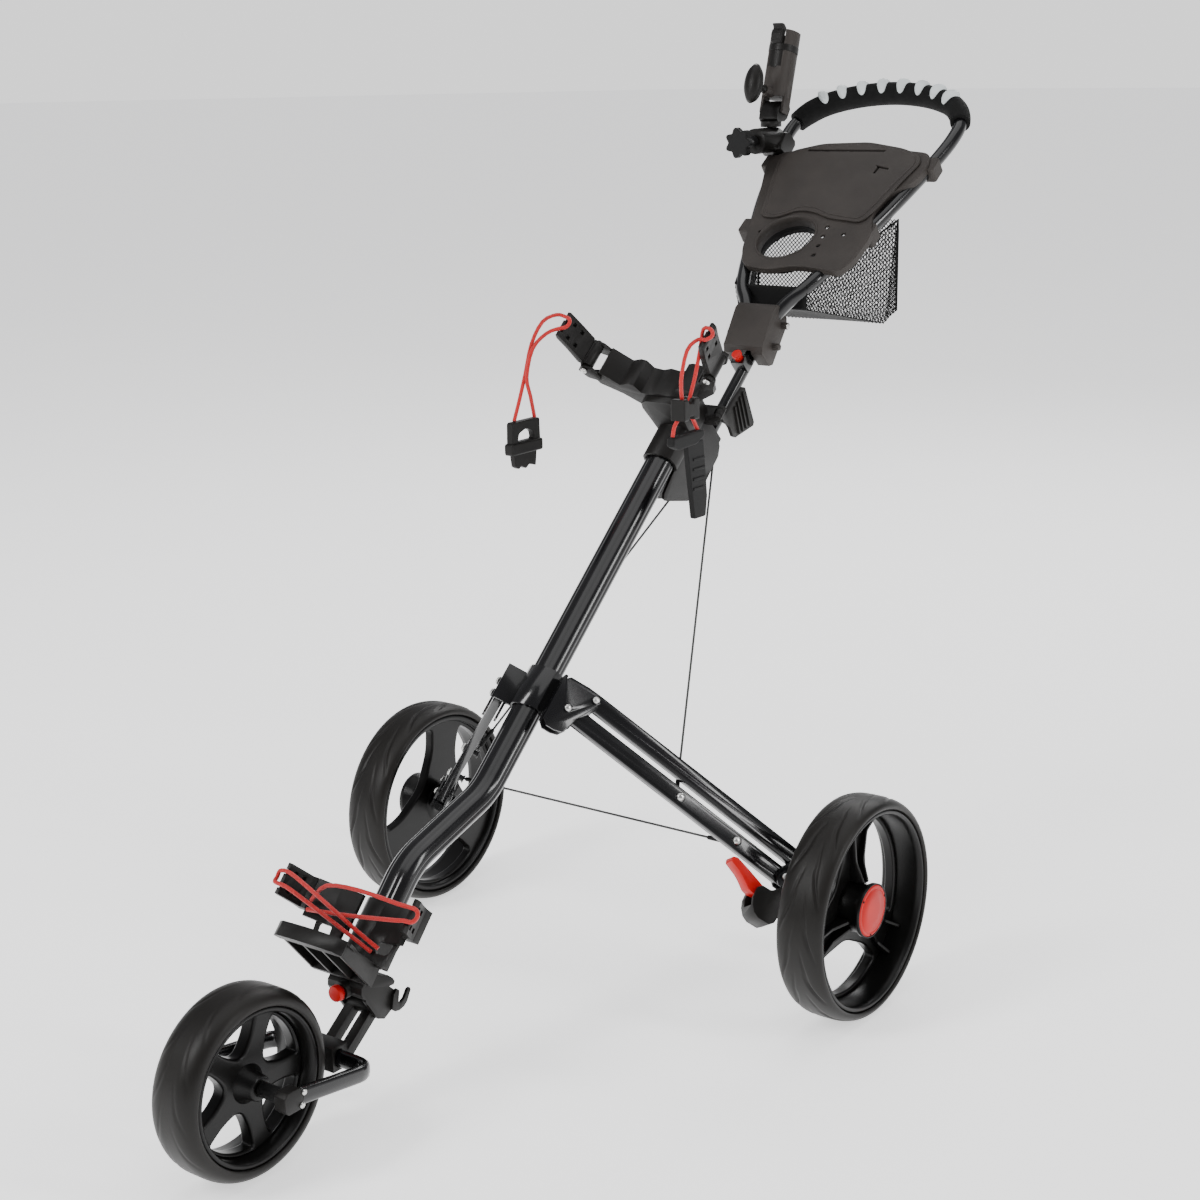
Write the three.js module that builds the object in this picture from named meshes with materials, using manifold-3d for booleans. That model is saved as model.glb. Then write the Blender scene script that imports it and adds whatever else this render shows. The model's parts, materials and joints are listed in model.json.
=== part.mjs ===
// Three-wheel golf push cart: a folding steel frame on two large rear wheels and a small front wheel.
// Millimetres, +Z up, the front of the cart towards -Y, the handle towards +Y,
// X = 0 the plane of symmetry.
// Everything is laid out from the rear axle (Y = 0) and the floor (Z = 0); the last lines of the file
// move the whole cart so that its origin is at the bottom centre of its box.
import * as THREE from "three";
import { mergeVertices } from "three/addons/utils/BufferGeometryUtils.js";
import Module from "manifold-3d";

const wasm = await Module();
wasm.setup();

// ---------------------------------------------------------------- driving dimensions

const GAP = 0.3; // clearance between pieces that touch
const rad = THREE.MathUtils.degToRad;

const REAR = { radius: 145, width: 65, rim: 131, x: 358.8 };
const FRONT = { radius: 110.6, width: 66, rim: 92, y: -734.3 };
const RAKE = 41.8; // slope of the main tube
const DROP = 47.2; // slope of the main tube's lowest stretch
const LEAN = 35.8; // slope of the handle
const FOOT_AXIS = -6.5; // the main tube's axis in the frame of its lowest stretch
const TUBE = { width: 42, depth: 33 };
const STEM = { radius: 9, h: -65, low: 470, top: 683 };
const ARM = { length: 352, width: 22, thick: 12, toe: 6.8 };
const ARM_TILT = 41.2; // tilt of the rear arms' hinge axis out of the X direction
const ARM_ROOT = [52.6, 21.5, -2]; // lower inner pivot, in the main tube's frame
const UPPER_PIVOT = [27.5, 28.5]; // upper pivots from the lower ones, in the arm's frame
const WHEEL_SIDES = 24;
const HANDLE_RADIUS = 10;
const CORD_RADIUS = 2.6;
const CABLE_RADIUS = 1.4;

// ---------------------------------------------------------------- frames of reference

const cart = new THREE.Group();
const group = (parent, position, rotateX = 0, rotateY = 0) => {
  const g = new THREE.Group();
  g.position.set(...position);
  g.rotation.set(rad(rotateX), rad(rotateY), 0);
  parent.add(g);
  return g;
};
// In the frames of the main tube, its lowest stretch and the handle, x runs across the cart,
// y runs up along the tube and z stands square to it, towards the front.
const tubeFrame = group(cart, [0, -214.7, 395], RAKE);
const footFrame = group(cart, [0, -517.7, 201.8], DROP);
const handleFrame = group(cart, [0, 350, 858], LEAN);
for (const frame of [tubeFrame, footFrame, handleFrame]) frame.updateMatrix();
const footPlacing = footFrame.matrix.clone();
const handlePlacing = handleFrame.matrix.clone();
const tubePlacing = tubeFrame.matrix.clone();
const sides = {
  right: group(tubeFrame, [0, 0, 0]),
  left: group(tubeFrame, [0, 0, 0]),
};
sides.left.scale.x = -1;
const armFrames = {
  right: group(sides.right, ARM_ROOT, 0, 90 - ARM_TILT),
  left: group(sides.left, ARM_ROOT, 0, 90 - ARM_TILT),
};

// ---------------------------------------------------------------- colours

const paint = { color: 0x141414, roughness: 0.18, metalness: 0.4 };
const plastic = { color: 0x2b2928, roughness: 0.55, metalness: 0 };
const rubber = { color: 0x2a2826, roughness: 0.75, metalness: 0 };
const foam = { color: 0x181818, roughness: 0.95, metalness: 0 };
const red = { color: 0xd8281e, roughness: 0.45, metalness: 0 };
const steel = { color: 0xb9b9b6, roughness: 0.3, metalness: 1 };
const wire = { color: 0x6a6a68, roughness: 0.4, metalness: 0.6 };

// ---------------------------------------------------------------- solids

function solid(geometry) {
  const bare = geometry.index ? geometry.clone() : geometry;
  bare.deleteAttribute("normal");
  bare.deleteAttribute("uv");
  const merged = mergeVertices(bare, 1e-4);
  return new wasm.Manifold(
    new wasm.Mesh({
      numProp: 3,
      vertProperties: merged.attributes.position.array,
      triVerts: new Uint32Array(merged.index.array),
    }),
  );
}

function geometryOf(body) {
  const mesh = body.getMesh();
  const geometry = new THREE.BufferGeometry();
  geometry.setAttribute("position", new THREE.BufferAttribute(mesh.vertProperties, 3));
  geometry.setIndex(new THREE.BufferAttribute(mesh.triVerts, 1));
  const flat = geometry.toNonIndexed();
  flat.computeVertexNormals();
  return flat;
}

const join = (...bodies) => bodies.reduce((sum, body) => sum.add(body));

function part(parent, name, body, finish) {
  const mesh = new THREE.Mesh(geometryOf(body), new THREE.MeshStandardMaterial(finish));
  mesh.name = name;
  parent.add(mesh);
  return mesh;
}

const matrix = (x, y, z, at = [0, 0, 0]) =>
  new THREE.Matrix4()
    .makeBasis(new THREE.Vector3(...x), new THREE.Vector3(...y), new THREE.Vector3(...z))
    .setPosition(...at);
// An outline drawn in (y, z) with its thickness along x, and one drawn in (x, z) with it along -y.
const SIDEWAYS = matrix([0, 1, 0], [0, 0, 1], [1, 0, 0]);
const ENDWAYS = matrix([1, 0, 0], [0, 0, 1], [0, -1, 0]);

function box([x0, x1], [y0, y1], [z0, z1]) {
  const geometry = new THREE.BoxGeometry(x1 - x0, y1 - y0, z1 - z0);
  return solid(geometry.translate((x0 + x1) / 2, (y0 + y1) / 2, (z0 + z1) / 2));
}

function rod(from, to, radius, sides = 8, endRadius = radius) {
  const a = new THREE.Vector3(...from);
  const b = new THREE.Vector3(...to);
  const geometry = new THREE.CylinderGeometry(endRadius, radius, a.distanceTo(b), sides);
  const turn = new THREE.Quaternion().setFromUnitVectors(
    new THREE.Vector3(0, 1, 0),
    b.clone().sub(a).normalize(),
  );
  geometry.applyQuaternion(turn);
  return solid(geometry.translate(...a.add(b).multiplyScalar(0.5).toArray()));
}

// A closed outline whose corners are rounded by the given radius.
function rounded(points, radius, steps = 1) {
  const corners = points.map(([x, y]) => new THREE.Vector2(x, y));
  const outline = [];
  corners.forEach((corner, i) => {
    const before = corners[(i + corners.length - 1) % corners.length];
    const after = corners[(i + 1) % corners.length];
    const reach = Math.min(radius, corner.distanceTo(before) / 2.1, corner.distanceTo(after) / 2.1);
    const start = before.clone().sub(corner).setLength(reach).add(corner);
    const end = after.clone().sub(corner).setLength(reach).add(corner);
    outline.push(...new THREE.QuadraticBezierCurve(start, corner, end).getPoints(steps));
  });
  return outline;
}

const pointsOf = (outline) => outline.map((p) => (p.isVector2 ? p : new THREE.Vector2(...p)));

function slab(outline, [from, to], placing = new THREE.Matrix4(), holes = []) {
  const shape = new THREE.Shape(pointsOf(outline));
  shape.holes = holes.map((hole) => new THREE.Path(pointsOf(hole)));
  const geometry = new THREE.ExtrudeGeometry(shape, { depth: to - from, bevelEnabled: false });
  return solid(geometry.translate(0, 0, from).applyMatrix4(placing));
}

const mirrored = (outline) => [
  ...outline,
  ...outline
    .filter(([x]) => x !== 0)
    .map(([x, y]) => [-x, y])
    .reverse(),
];

// A ring of corners on a flattened oval, for tube sections and sleeves.
const oval = (width, depth, corners = 12) =>
  Array.from({ length: corners }, (_, i) => {
    const angle = (2 * Math.PI * i) / corners;
    const squash = (value) => Math.sign(value) * Math.abs(value) ** 0.8;
    return [(width / 2) * squash(Math.cos(angle)), (depth / 2) * squash(Math.sin(angle))];
  });

const disc = (radius, sides = 12, [x, y] = [0, 0], turn = 0) =>
  Array.from({ length: sides }, (_, i) => {
    const angle = turn + (2 * Math.PI * i) / sides;
    return [x + radius * Math.cos(angle), y + radius * Math.sin(angle)];
  });

// A route through a list of stations, with one step of the tube from each station to the next.
class Route extends THREE.Curve {
  constructor(stations) {
    super();
    this.stations = stations;
    this.steps = stations.length - 1;
  }
  getPoint(t, target = new THREE.Vector3()) {
    const place = Math.min(Math.max(t, 0), 1) * this.steps;
    const i = Math.min(Math.floor(place), this.steps - 1);
    return target.lerpVectors(this.stations[i], this.stations[i + 1], place - i);
  }
  getPointAt(t, target) {
    return this.getPoint(t, target);
  }
  getTangent(t, target = new THREE.Vector3()) {
    const i = Math.round(t * this.steps);
    const before = this.stations[Math.max(i - 1, 0)];
    const after = this.stations[Math.min(i + 1, this.steps)];
    return target.copy(after).sub(before).normalize();
  }
  getTangentAt(t, target) {
    return this.getTangent(t, target);
  }
}

// Straight stretches between corners, with each inner corner bent to a radius.
function bentRoute(corners, radius, steps = 4) {
  const points = corners.map((c) => new THREE.Vector3(...c));
  const stations = [points[0]];
  for (let i = 1; i < points.length - 1; i += 1) {
    const back = points[i - 1].clone().sub(points[i]).normalize();
    const on = points[i + 1].clone().sub(points[i]).normalize();
    const reach = radius / Math.tan(back.angleTo(on) / 2);
    const start = points[i].clone().addScaledVector(back, reach);
    const end = points[i].clone().addScaledVector(on, reach);
    stations.push(...new THREE.QuadraticBezierCurve3(start, points[i], end).getPoints(steps));
  }
  stations.push(points.at(-1));
  return new Route(stations);
}

const smoothRoute = (points, steps) =>
  new Route(new THREE.CatmullRomCurve3(points.map((p) => new THREE.Vector3(...p))).getSpacedPoints(steps));

function tube(route, section) {
  const shape = new THREE.Shape(pointsOf(section));
  return solid(new THREE.ExtrudeGeometry(shape, { steps: route.steps, extrudePath: route }));
}

// A solid of revolution about the x axis; the profile is a list of [radius, x]. It stands on one of its flats.
function turned(profile, sides) {
  const outline = profile.map(([radius, x]) => new THREE.Vector2(radius, x));
  return solid(new THREE.LatheGeometry(outline, sides, Math.PI / sides).rotateZ(-Math.PI / 2));
}

// ---------------------------------------------------------------- main tube and brackets

const inCart = (frame, [x, y, z]) => {
  frame.updateWorldMatrix(true, false);
  return frame.localToWorld(new THREE.Vector3(x, y, z)).toArray();
};

function mainTube() {
  const route = bentRoute(
    [
      inCart(tubeFrame, [0, 470, 0]),
      inCart(tubeFrame, [0, -115.8, 0]),
      inCart(footFrame, [0, 103, FOOT_AXIS]),
      inCart(footFrame, [0, -24, FOOT_AXIS]),
    ],
    100,
  );
  part(cart, "main_tube", tube(route, oval(TUBE.width, TUBE.depth)), paint);
}

const earThickness = 3;
const earFace = ARM.thick / 2 + 1; // inner face of each ear, from the arm's middle plane
const earPair = (outline) =>
  [earFace, -earFace - earThickness].map((z) => slab(outline, [z, z + earThickness]));

const rivet = ([x, y], reach) =>
  join(
    rod([x, y, -reach], [x, y, reach], 3.5),
    rod([x, y, -reach - 2], [x, y, -reach], 6),
    rod([x, y, reach], [x, y, reach + 2], 6),
  );

// The arm frame as seen from the tube frame, for the bracket that is one piece on both sides.
const armPlacing = (mirror) => {
  const placing = new THREE.Matrix4().makeRotationY(rad(90 - ARM_TILT)).setPosition(...ARM_ROOT);
  return mirror < 0 ? new THREE.Matrix4().makeScale(-1, 1, 1).multiply(placing) : placing;
};
const moved = (body, placing) => body.transform(placing.elements);

function midBracket() {
  const ear = rounded(
    [[-22, 38], [20, 39], [36, 36], [31, 6], [17, 0], [12.5, -28], [3, -34], [-22, -34]],
    8,
  );
  const bearing = join(
    ...earPair(ear),
    box([-22, -18], [-12, 38], [-30, earFace + earThickness]),
    rivet([0, 0], earFace + earThickness),
    rivet(UPPER_PIVOT, earFace + earThickness),
  );
  const sleeve = slab(oval(48, 39), [-66, -8], ENDWAYS);
  const bore = slab(oval(TUBE.width + 1, TUBE.depth + 1), [-80, 0], ENDWAYS);
  const body = join(sleeve, moved(bearing, armPlacing(1)), moved(bearing, armPlacing(-1)));
  part(tubeFrame, "mid_bracket", body.subtract(bore), paint);
}

// ---------------------------------------------------------------- rear arms

const toe = [Math.cos(rad(ARM.toe)), -Math.sin(rad(ARM.toe))];
const alongArm = (distance, [x, y] = [0, 0]) => [x + distance * toe[0], y + distance * toe[1]];

function armBar(start) {
  const half = ARM.width / 2;
  const turn = -rad(ARM.toe);
  const end = alongArm(ARM.length, start);
  const cap = ([x, y], from) =>
    Array.from({ length: 7 }, (_, i) => {
      const angle = turn + from + (Math.PI * i) / 6;
      return [x + half * Math.cos(angle), y + half * Math.sin(angle)];
    });
  const bores = [start, end].map((centre) => disc(3.9, 12, centre));
  const outline = [...cap(end, -Math.PI / 2), ...cap(start, Math.PI / 2)];
  return slab(outline, [-ARM.thick / 2, ARM.thick / 2], undefined, bores);
}

const LIFT_EYE = 0.52; // where the lift cable's eye bolt stands along the lower bar
const CROSS_EYE = 0.78; // where the cross cable's eye bolt stands

function rearArm(side) {
  const frame = armFrames[side];
  const eyes = [LIFT_EYE, CROSS_EYE].map((share) => {
    const [x, y] = alongArm(ARM.length * share);
    return join(
      rod([x, y, -12], [x, y, 8.5], 4.5),
      rod([x, y, -14], [x, y, -12], 6),
      rod([x, y, ARM.thick / 2], [x, y, ARM.thick / 2 + 1.5], 7),
    );
  });
  part(frame, `lower_bar_${side}`, join(armBar([0, 0]), ...eyes), paint);
  part(frame, `upper_bar_${side}`, armBar(UPPER_PIVOT), paint);
}

function wheelBracket(side) {
  const frame = armFrames[side];
  frame.updateWorldMatrix(true, false);
  const outer = alongArm(ARM.length);
  const upper = alongArm(ARM.length, UPPER_PIVOT);
  const ear = rounded(
    [
      [outer[0] - 12, outer[1] - 12],
      [outer[0] - 12, outer[1] + 8],
      [upper[0] - 13, upper[1] + 12],
      [upper[0] + 12, upper[1] + 12],
      [424, -16],
      [424, -44],
      [outer[0] + 8, outer[1] - 14],
    ],
    8,
  );
  const clear = Math.max(outer[0], upper[0]) + ARM.width / 2 + 1.5;
  // The axle's inner end in this frame, and the direction of the axle (the cart's x axis).
  const axis = [Math.cos(rad(90 - ARM_TILT)), 0, Math.sin(rad(90 - ARM_TILT))];
  const hub = frame.worldToLocal(new THREE.Vector3((side === "right" ? 1 : -1) * 319, 0,
    REAR.radius)).toArray();
  const at = (distance) => hub.map((value, i) => value + axis[i] * distance);
  const body = join(
    ...earPair(ear),
    box([clear, 424], [-44, -6], [-14, earFace + earThickness]),
    rod(at(-30), at(3), 15, 16),
    rivet(outer, earFace + earThickness),
    rivet(upper, earFace + earThickness),
  ).subtract(rod(at(14), at(90), 60));
  part(frame, `wheel_bracket_${side}`, join(body, rod(at(0), at(60), 5.5)), paint);
}

// ---------------------------------------------------------------- wheels

function tyreBody({ radius, width, rim }, flat, sides) {
  const half = width / 2;
  const rise = radius / Math.cos(Math.PI / sides) - rim - 3;
  const shoulder = Array.from({ length: 4 }, (_, i) => {
    const angle = (Math.PI / 2) * (i / 3);
    return [rim + 3 + rise * Math.cos(angle), flat + (half - flat) * Math.sin(angle)];
  });
  const right = [...shoulder, [rim + GAP, half - 2]];
  const left = right.map(([r, x]) => [r, -x]).reverse();
  return turned([...left, ...right, left[0]], sides);
}

// A spoke wheel: a barrel, a plate with windows between the spokes, and a hub with a bore.
function rimBody({ rim, width }, { wall, plate, hub, bore, windows, sides }) {
  const half = width / 2 - 3;
  const barrel = turned(
    [[rim - wall, -half], [rim, -half], [rim, half], [rim - wall, half], [rim - wall, -half]],
    sides,
  );
  const disk = slab(disc(rim - 3, sides), plate, SIDEWAYS, windows);
  const boss = rod([hub.from, 0, 0], [hub.to, 0, 0], hub.radius, 16);
  return join(barrel, disk, boss).subtract(rod([-half - 9, 0, 0], [bore.to, 0, 0], bore.radius, 12));
}

// A window between two spokes: an arc at the outer radius, drawn in to a rounded point near the hub.
function wheelWindow(middle, spread, inner, outer) {
  const polar = (radius, angle) => [
    radius * Math.cos(rad(middle + angle)),
    radius * Math.sin(rad(middle + angle)),
  ];
  const arc = [-1, -0.5, 0, 0.5, 1].map((share) => polar(outer, share * spread));
  return rounded([...arc, polar((inner + outer) / 2, spread * 0.92), polar(inner, 0),
    polar((inner + outer) / 2, -spread * 0.92)], 12);
}

function rearWheel(side) {
  const mirror = side === "right" ? 1 : -1;
  const wheel = group(cart, [mirror * REAR.x, 0, REAR.radius]);
  wheel.scale.x = mirror;
  const windows = [20, 140, 260].map((middle) => wheelWindow(middle, 45, 44, 118));
  const rim = rimBody(REAR, {
    wall: 4,
    plate: [-22, -8],
    hub: { from: -24, to: 20, radius: 30 },
    bore: { radius: 6, to: 21 },
    windows,
    sides: WHEEL_SIDES,
  });
  part(wheel, `rear_rim_${side}`, rim, plastic);
  part(wheel, `rear_tyre_${side}`, tyreBody(REAR, 10, WHEEL_SIDES), rubber);
  const cap = join(rod([23.4, 0, 0], [26, 0, 0], 34, 24), rod([25, 0, 0], [28, 0, 0], 29, 24, 26));
  part(wheel, `hub_cap_${side}`, cap, red);
}

function frontWheel() {
  const wheel = group(cart, [0, FRONT.y, FRONT.radius]);
  const windows = [30, 102, 174, 246, 318].map((middle) => wheelWindow(middle, 25, 33, 81));
  const rim = rimBody(FRONT, {
    wall: 5,
    plate: [-8, 10],
    hub: { from: -32, to: 32, radius: 17 },
    bore: { radius: 5.4, to: 40 },
    windows,
    sides: WHEEL_SIDES,
  });
  part(wheel, "front_rim", rim, plastic);
  part(wheel, "front_tyre", tyreBody(FRONT, 12, WHEEL_SIDES), rubber);
  const axle = join(
    rod([-80, 0, 0], [80, 0, 0], 5, 12),
    rod([33, 0, 0], [66, 0, 0], 9, 12),
    rod([-66, 0, 0], [-33, 0, 0], 9, 12),
  );
  part(wheel, "front_axle", axle, steel);
}

// ---------------------------------------------------------------- fork and folding knuckle

const FORK = { half: 75, axle: [FRONT.y, FRONT.radius], bridge: [-602, 90] };
const KNEE = [-531, 124]; // the front fold's hinge pin

function frontFork() {
  const [yEnd, zEnd] = [FORK.axle[0] + 15.5, FORK.axle[1] - 2.6];
  const [yBridge, zBridge] = FORK.bridge;
  const route = bentRoute(
    [[FORK.half, yEnd, zEnd], [FORK.half, yBridge, zBridge], [-FORK.half, yBridge, zBridge],
      [-FORK.half, yEnd, zEnd]],
    24,
    5,
  );
  const fork = tube(route, oval(13, 21, 12));
  part(cart, "front_fork", fork, paint);
  for (const [side, mirror] of [["right", 1], ["left", -1]]) {
    const ends = group(cart, [0, ...FORK.axle]);
    ends.scale.x = mirror;
    const outline = rounded([[-15, -13], [13.2, -13], [13.2, 13], [-15, 13]], 5);
    const shell = slab(outline, [67, 84], SIDEWAYS);
    const bore = rod([60, 0, 0], [80 + GAP, 0, 0], 5 + GAP, 12);
    part(ends, `fork_block_${side}`, shell.subtract(bore), plastic);
  }
}

function strutOutline(half) {
  const [y0, z0] = [-593, 77];
  const along = [KNEE[0] - y0, KNEE[1] - z0];
  const length = Math.hypot(...along);
  const [dy, dz] = along.map((value) => value / length);
  return [
    [y0 - half * dz, z0 + half * dy],
    [y0 + half * dz, z0 - half * dy],
    [KNEE[0] + half * dz, KNEE[1] - half * dy],
    [KNEE[0] - half * dz, KNEE[1] + half * dy],
  ];
}

function frontStrut() {
  const [yBridge, zBridge] = FORK.bridge;
  const bars = [-1, 1].map((mirror) => {
    const inner = mirror * 7.3;
    const outer = mirror * 20.5;
    return slab(strutOutline(6.5), [Math.min(inner, outer), Math.max(inner, outer)], SIDEWAYS);
  });
  const eye = rod([-20.5, ...KNEE], [20.5, ...KNEE], 11, 16);
  const foot = box([-24, 24], [yBridge - 11, yBridge + 14], [zBridge - 15, zBridge + 15]);
  const crossbar = slab(oval(15, 23, 12), [-40, 40], matrix([0, 1, 0], [0, 0, 1], [1, 0, 0],
    [0, ...FORK.bridge]));
  const pin = rod([-30, ...KNEE], [30, ...KNEE], 4 + GAP, 12);
  part(cart, "front_strut", join(...bars, eye, foot).subtract(crossbar).subtract(pin), plastic);
}

function frontKnuckle() {
  const cheek = rounded([[-545, 163], [-562, 150], [-545, 126], [-534, 108], [-519, 112],
    [-501, 128], [-512, 148]], 9);
  const cheeks = [slab(cheek, [21.5, 27], SIDEWAYS), slab(cheek, [-27, -21.5], SIDEWAYS)];
  const neck = rounded([[-550, 175], [-566, 158], [-557, 143], [-543, 141], [-518, 148], [-503, 146],
    [-512, 160]], 5);
  const cap = slab(neck, [-27, 27], SIDEWAYS);
  const hook = slab(
    rounded([[-512, 140], [-517, 118], [-508, 112], [-492, 116], [-482, 134], [-487, 136],
      [-497, 122], [-506, 121], [-502, 142]], 4),
    [27, 31],
    SIDEWAYS,
  );
  const pin = rod([-26, ...KNEE], [26, ...KNEE], 4, 12);
  const swing = rod([-21.2, ...KNEE], [21.2, ...KNEE], 12.5, 20);
  const plunger = rod([0, -575, 155], [0, -545, 155], 7 + GAP, 16);
  const collar = rod([0, -570, 155], [0, -556, 155], 11, 16);
  const body = join(cap.subtract(swing), ...cheeks, hook, pin, collar).subtract(plunger);
  const tubeEnd = slab(
    oval(TUBE.width + 1, TUBE.depth + 1),
    [-80, 24.5],
    footPlacing.clone().multiply(ENDWAYS.clone().setPosition(0, 0, FOOT_AXIS)),
  );
  part(cart, "front_knuckle", body.subtract(tubeEnd), plastic);
  const button = join(rod([0, -574, 155], [0, -547, 155], 7, 16), rod([0, -581, 155],
    [0, -573.5, 155], 9.5, 16, 10.5));
  part(cart, "fold_button", button, red);
}

// ---------------------------------------------------------------- lower bag rest

const CRADLE = [[0, 20], [24, 20], [50, 26], [78, 40], [98, 66]]; // inner face of the lower cradle

function bandOutline(inner, thickness) {
  const outer = inner.map(([x, z]) => [x + (x > 60 ? thickness * 0.8 : 0), z - thickness]).reverse();
  return [...inner, ...outer];
}

function lowerRest() {
  const lowered = ENDWAYS.clone().setPosition(0, 0, FOOT_AXIS);
  const sleeve = slab(oval(52, 43), [-46, 26], lowered);
  const half = bandOutline([[18, 22], [50, 27], [76, 40]], 5);
  const wing = slab(half, [-44, 4], ENDWAYS);
  const window = slab(rounded([[38, -2], [60, -2], [57, -19], [36, -19]], 4), [10, 40]);
  const plate = slab(rounded([[20, 8], [66, 8], [60, -34], [20, -34]], 5), [21, 26]).subtract(window);
  const side = join(wing, plate);
  const lip = rounded([[-56, 88], [56, 88], [50, 102], [0, 106], [-50, 102]], 8);
  const floor = slab(rounded([[-22, 16], [22, 16], [54, 84], [56, 96], [-56, 96], [-54, 84]],
    6), [30, 34], ENDWAYS);
  const shelf = join(
    floor,
    slab(lip, [30, 48], ENDWAYS),
    ...[-46, -16, 14, 42].map((x) =>
      slab([[-31, 18], [-31, 92], [-46, 92], [-56, 18]], [x, x + 4], SIDEWAYS),
    ),
    slab([[-56, 14], [-30, 14], [-30, 22], [-56, 22]], [-46, 46], SIDEWAYS),
  );
  const mirror = new THREE.Matrix4().makeScale(-1, 1, 1);
  const bore = slab(oval(TUBE.width + 1, TUBE.depth + 1), [-60, 64], lowered);
  const flank = box([20, 27], [-26, 0], [-24, 20]);
  const body = join(sleeve, side, moved(side, mirror), shelf, flank).subtract(bore);
  part(footFrame, "lower_bag_rest", body, plastic);
}

// A short curved arm that stands at the end of a cradle: two cord notches at its tip and four square holes.
function cradleArm(height) {
  const outline = rounded(
    [[0, 0], [9, -3], [15, height * 0.5], [22, height - 4], [16, height + 2], [7, height * 0.5]],
    4,
  );
  const blade = slab(outline, [-20, 20], ENDWAYS);
  const slots = [-11, 11].flatMap((y) =>
    [0.45, 0.72].map((share) => box([-5, 40], [y - 3, y + 3], [height * share - 3, height * share + 3])),
  );
  const notches = [-9, 9].map((y) => box([6, 40], [y - 3.2, y + 3.2], [height - 5, height + 9]));
  return [...slots, ...notches].reduce((body, tool) => body.subtract(tool), blade);
}

function lowerArms() {
  for (const [side, mirror] of [["right", 1], ["left", -1]]) {
    const holder = group(footFrame, [0, 0, 0]);
    holder.scale.x = mirror;
    const place = new THREE.Matrix4().makeTranslation(82, 24, 32);
    const foot = box([-5, 12], [-20, 20], [-3.5, 8]);
    const arm = moved(join(cradleArm(42), foot), place);
    const band = slab(bandOutline([[18, 22 + GAP], [50, 27 + GAP], [76 + GAP, 40 + GAP]],
      5 + 2 * GAP), [-50, 8], ENDWAYS);
    part(holder, `lower_arm_${side}`, arm.subtract(band), plastic);
  }
}

// ---------------------------------------------------------------- upper bracket and saddle

const ARM_PIVOT = [99, 114]; // saddle arm hinge in (x, z), with its axis along the tube

function upperBracket() {
  const sleeve = slab(oval(50, 41), [-500, -411], ENDWAYS);
  const neck = slab(
    rounded(mirrored([[24, -18], [27, 20], [31, 56], [24, 66]]), 6),
    [-512, -462],
    ENDWAYS,
  );
  const saddle = slab(
    mirrored([
      [0, 72], [14, 68], [28, 71], [34, 85], [42, 87], [57, 83], [80, 106],
      [86, 101], [62, 75], [34, 66],
    ]),
    [-516, -472],
    ENDWAYS,
  );
  const strut = slab(
    mirrored([[20, 66], [60, 76], [84, 100], [98, 99], [92, 80], [62, 62], [40, 42], [30, 14], [24, 0]]),
    [-482, -474],
    ENDWAYS,
  );
  const lug = (from) =>
    slab(rounded([[76, 92], [92, 92], [109, 103], [110, 120], [94, 121], [84, 106]],
      8), [-from - 5, -from], ENDWAYS);
  const lugs = join(lug(469), lug(511), rod([ARM_PIVOT[0], 467, ARM_PIVOT[1]], [ARM_PIVOT[0],
    518, ARM_PIVOT[1]], 3.5));
  const mirror = new THREE.Matrix4().makeScale(-1, 1, 1);
  const cheek = rounded([[411, -14], [371, -19], [369, -27], [407, -76], [430, -86], [500, -84],
    [513, -60], [513, -14]], 8);
  const cheeks = [slab(cheek, [13, 17], SIDEWAYS), slab(cheek, [-17, -13], SIDEWAYS)];
  const guide = box([-17, 17], [470, 513], [-72, -14]);
  const channel = rod([0, 360, STEM.h], [0, 540, STEM.h], STEM.radius + 0.5, 16);
  const back = box([-8.6, 8.6], [360, 540], [-80, STEM.h]);
  const leverArm = join(
    box([15, 38.5], [500, 516], [-24, -4]),
    rod([45, 500, -8], [45, 505, -8], 6),
    rod([45, 514, -8], [45, 519, -8], 6),
    box([38, 45], [500, 505], [-14, -4]),
    box([15, 45], [514, 519], [-14, -4]),
    rod([45, 500, -8], [45, 519, -8], 2.4),
  );
  const bore = slab(oval(TUBE.width + 1, TUBE.depth + 1), [-472, -380], ENDWAYS);
  const body = join(
    sleeve, neck, saddle, strut, lugs, moved(lugs, mirror), guide, ...cheeks, leverArm,
  );
  part(tubeFrame, "upper_bracket", body.subtract(bore).subtract(channel).subtract(back), plastic);
}

function saddleArms() {
  for (const [side, mirror] of [["right", 1], ["left", -1]]) {
    const holder = group(tubeFrame, [0, 0, 0]);
    holder.scale.x = mirror;
    const blade = moved(cradleArm(56), new THREE.Matrix4().makeTranslation(97, 493, 123));
    const knuckle = join(
      rod([ARM_PIVOT[0], 475, ARM_PIVOT[1]], [ARM_PIVOT[0], 510, ARM_PIVOT[1]], 9, 16),
      box([97, 106], [475, 510], [ARM_PIVOT[1], 126]),
    );
    const bore = rod([ARM_PIVOT[0], 460, ARM_PIVOT[1]], [ARM_PIVOT[0], 530, ARM_PIVOT[1]], 3.9);
    part(holder, `saddle_arm_${side}`, join(blade, knuckle).subtract(bore), plastic);
  }
}

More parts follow.
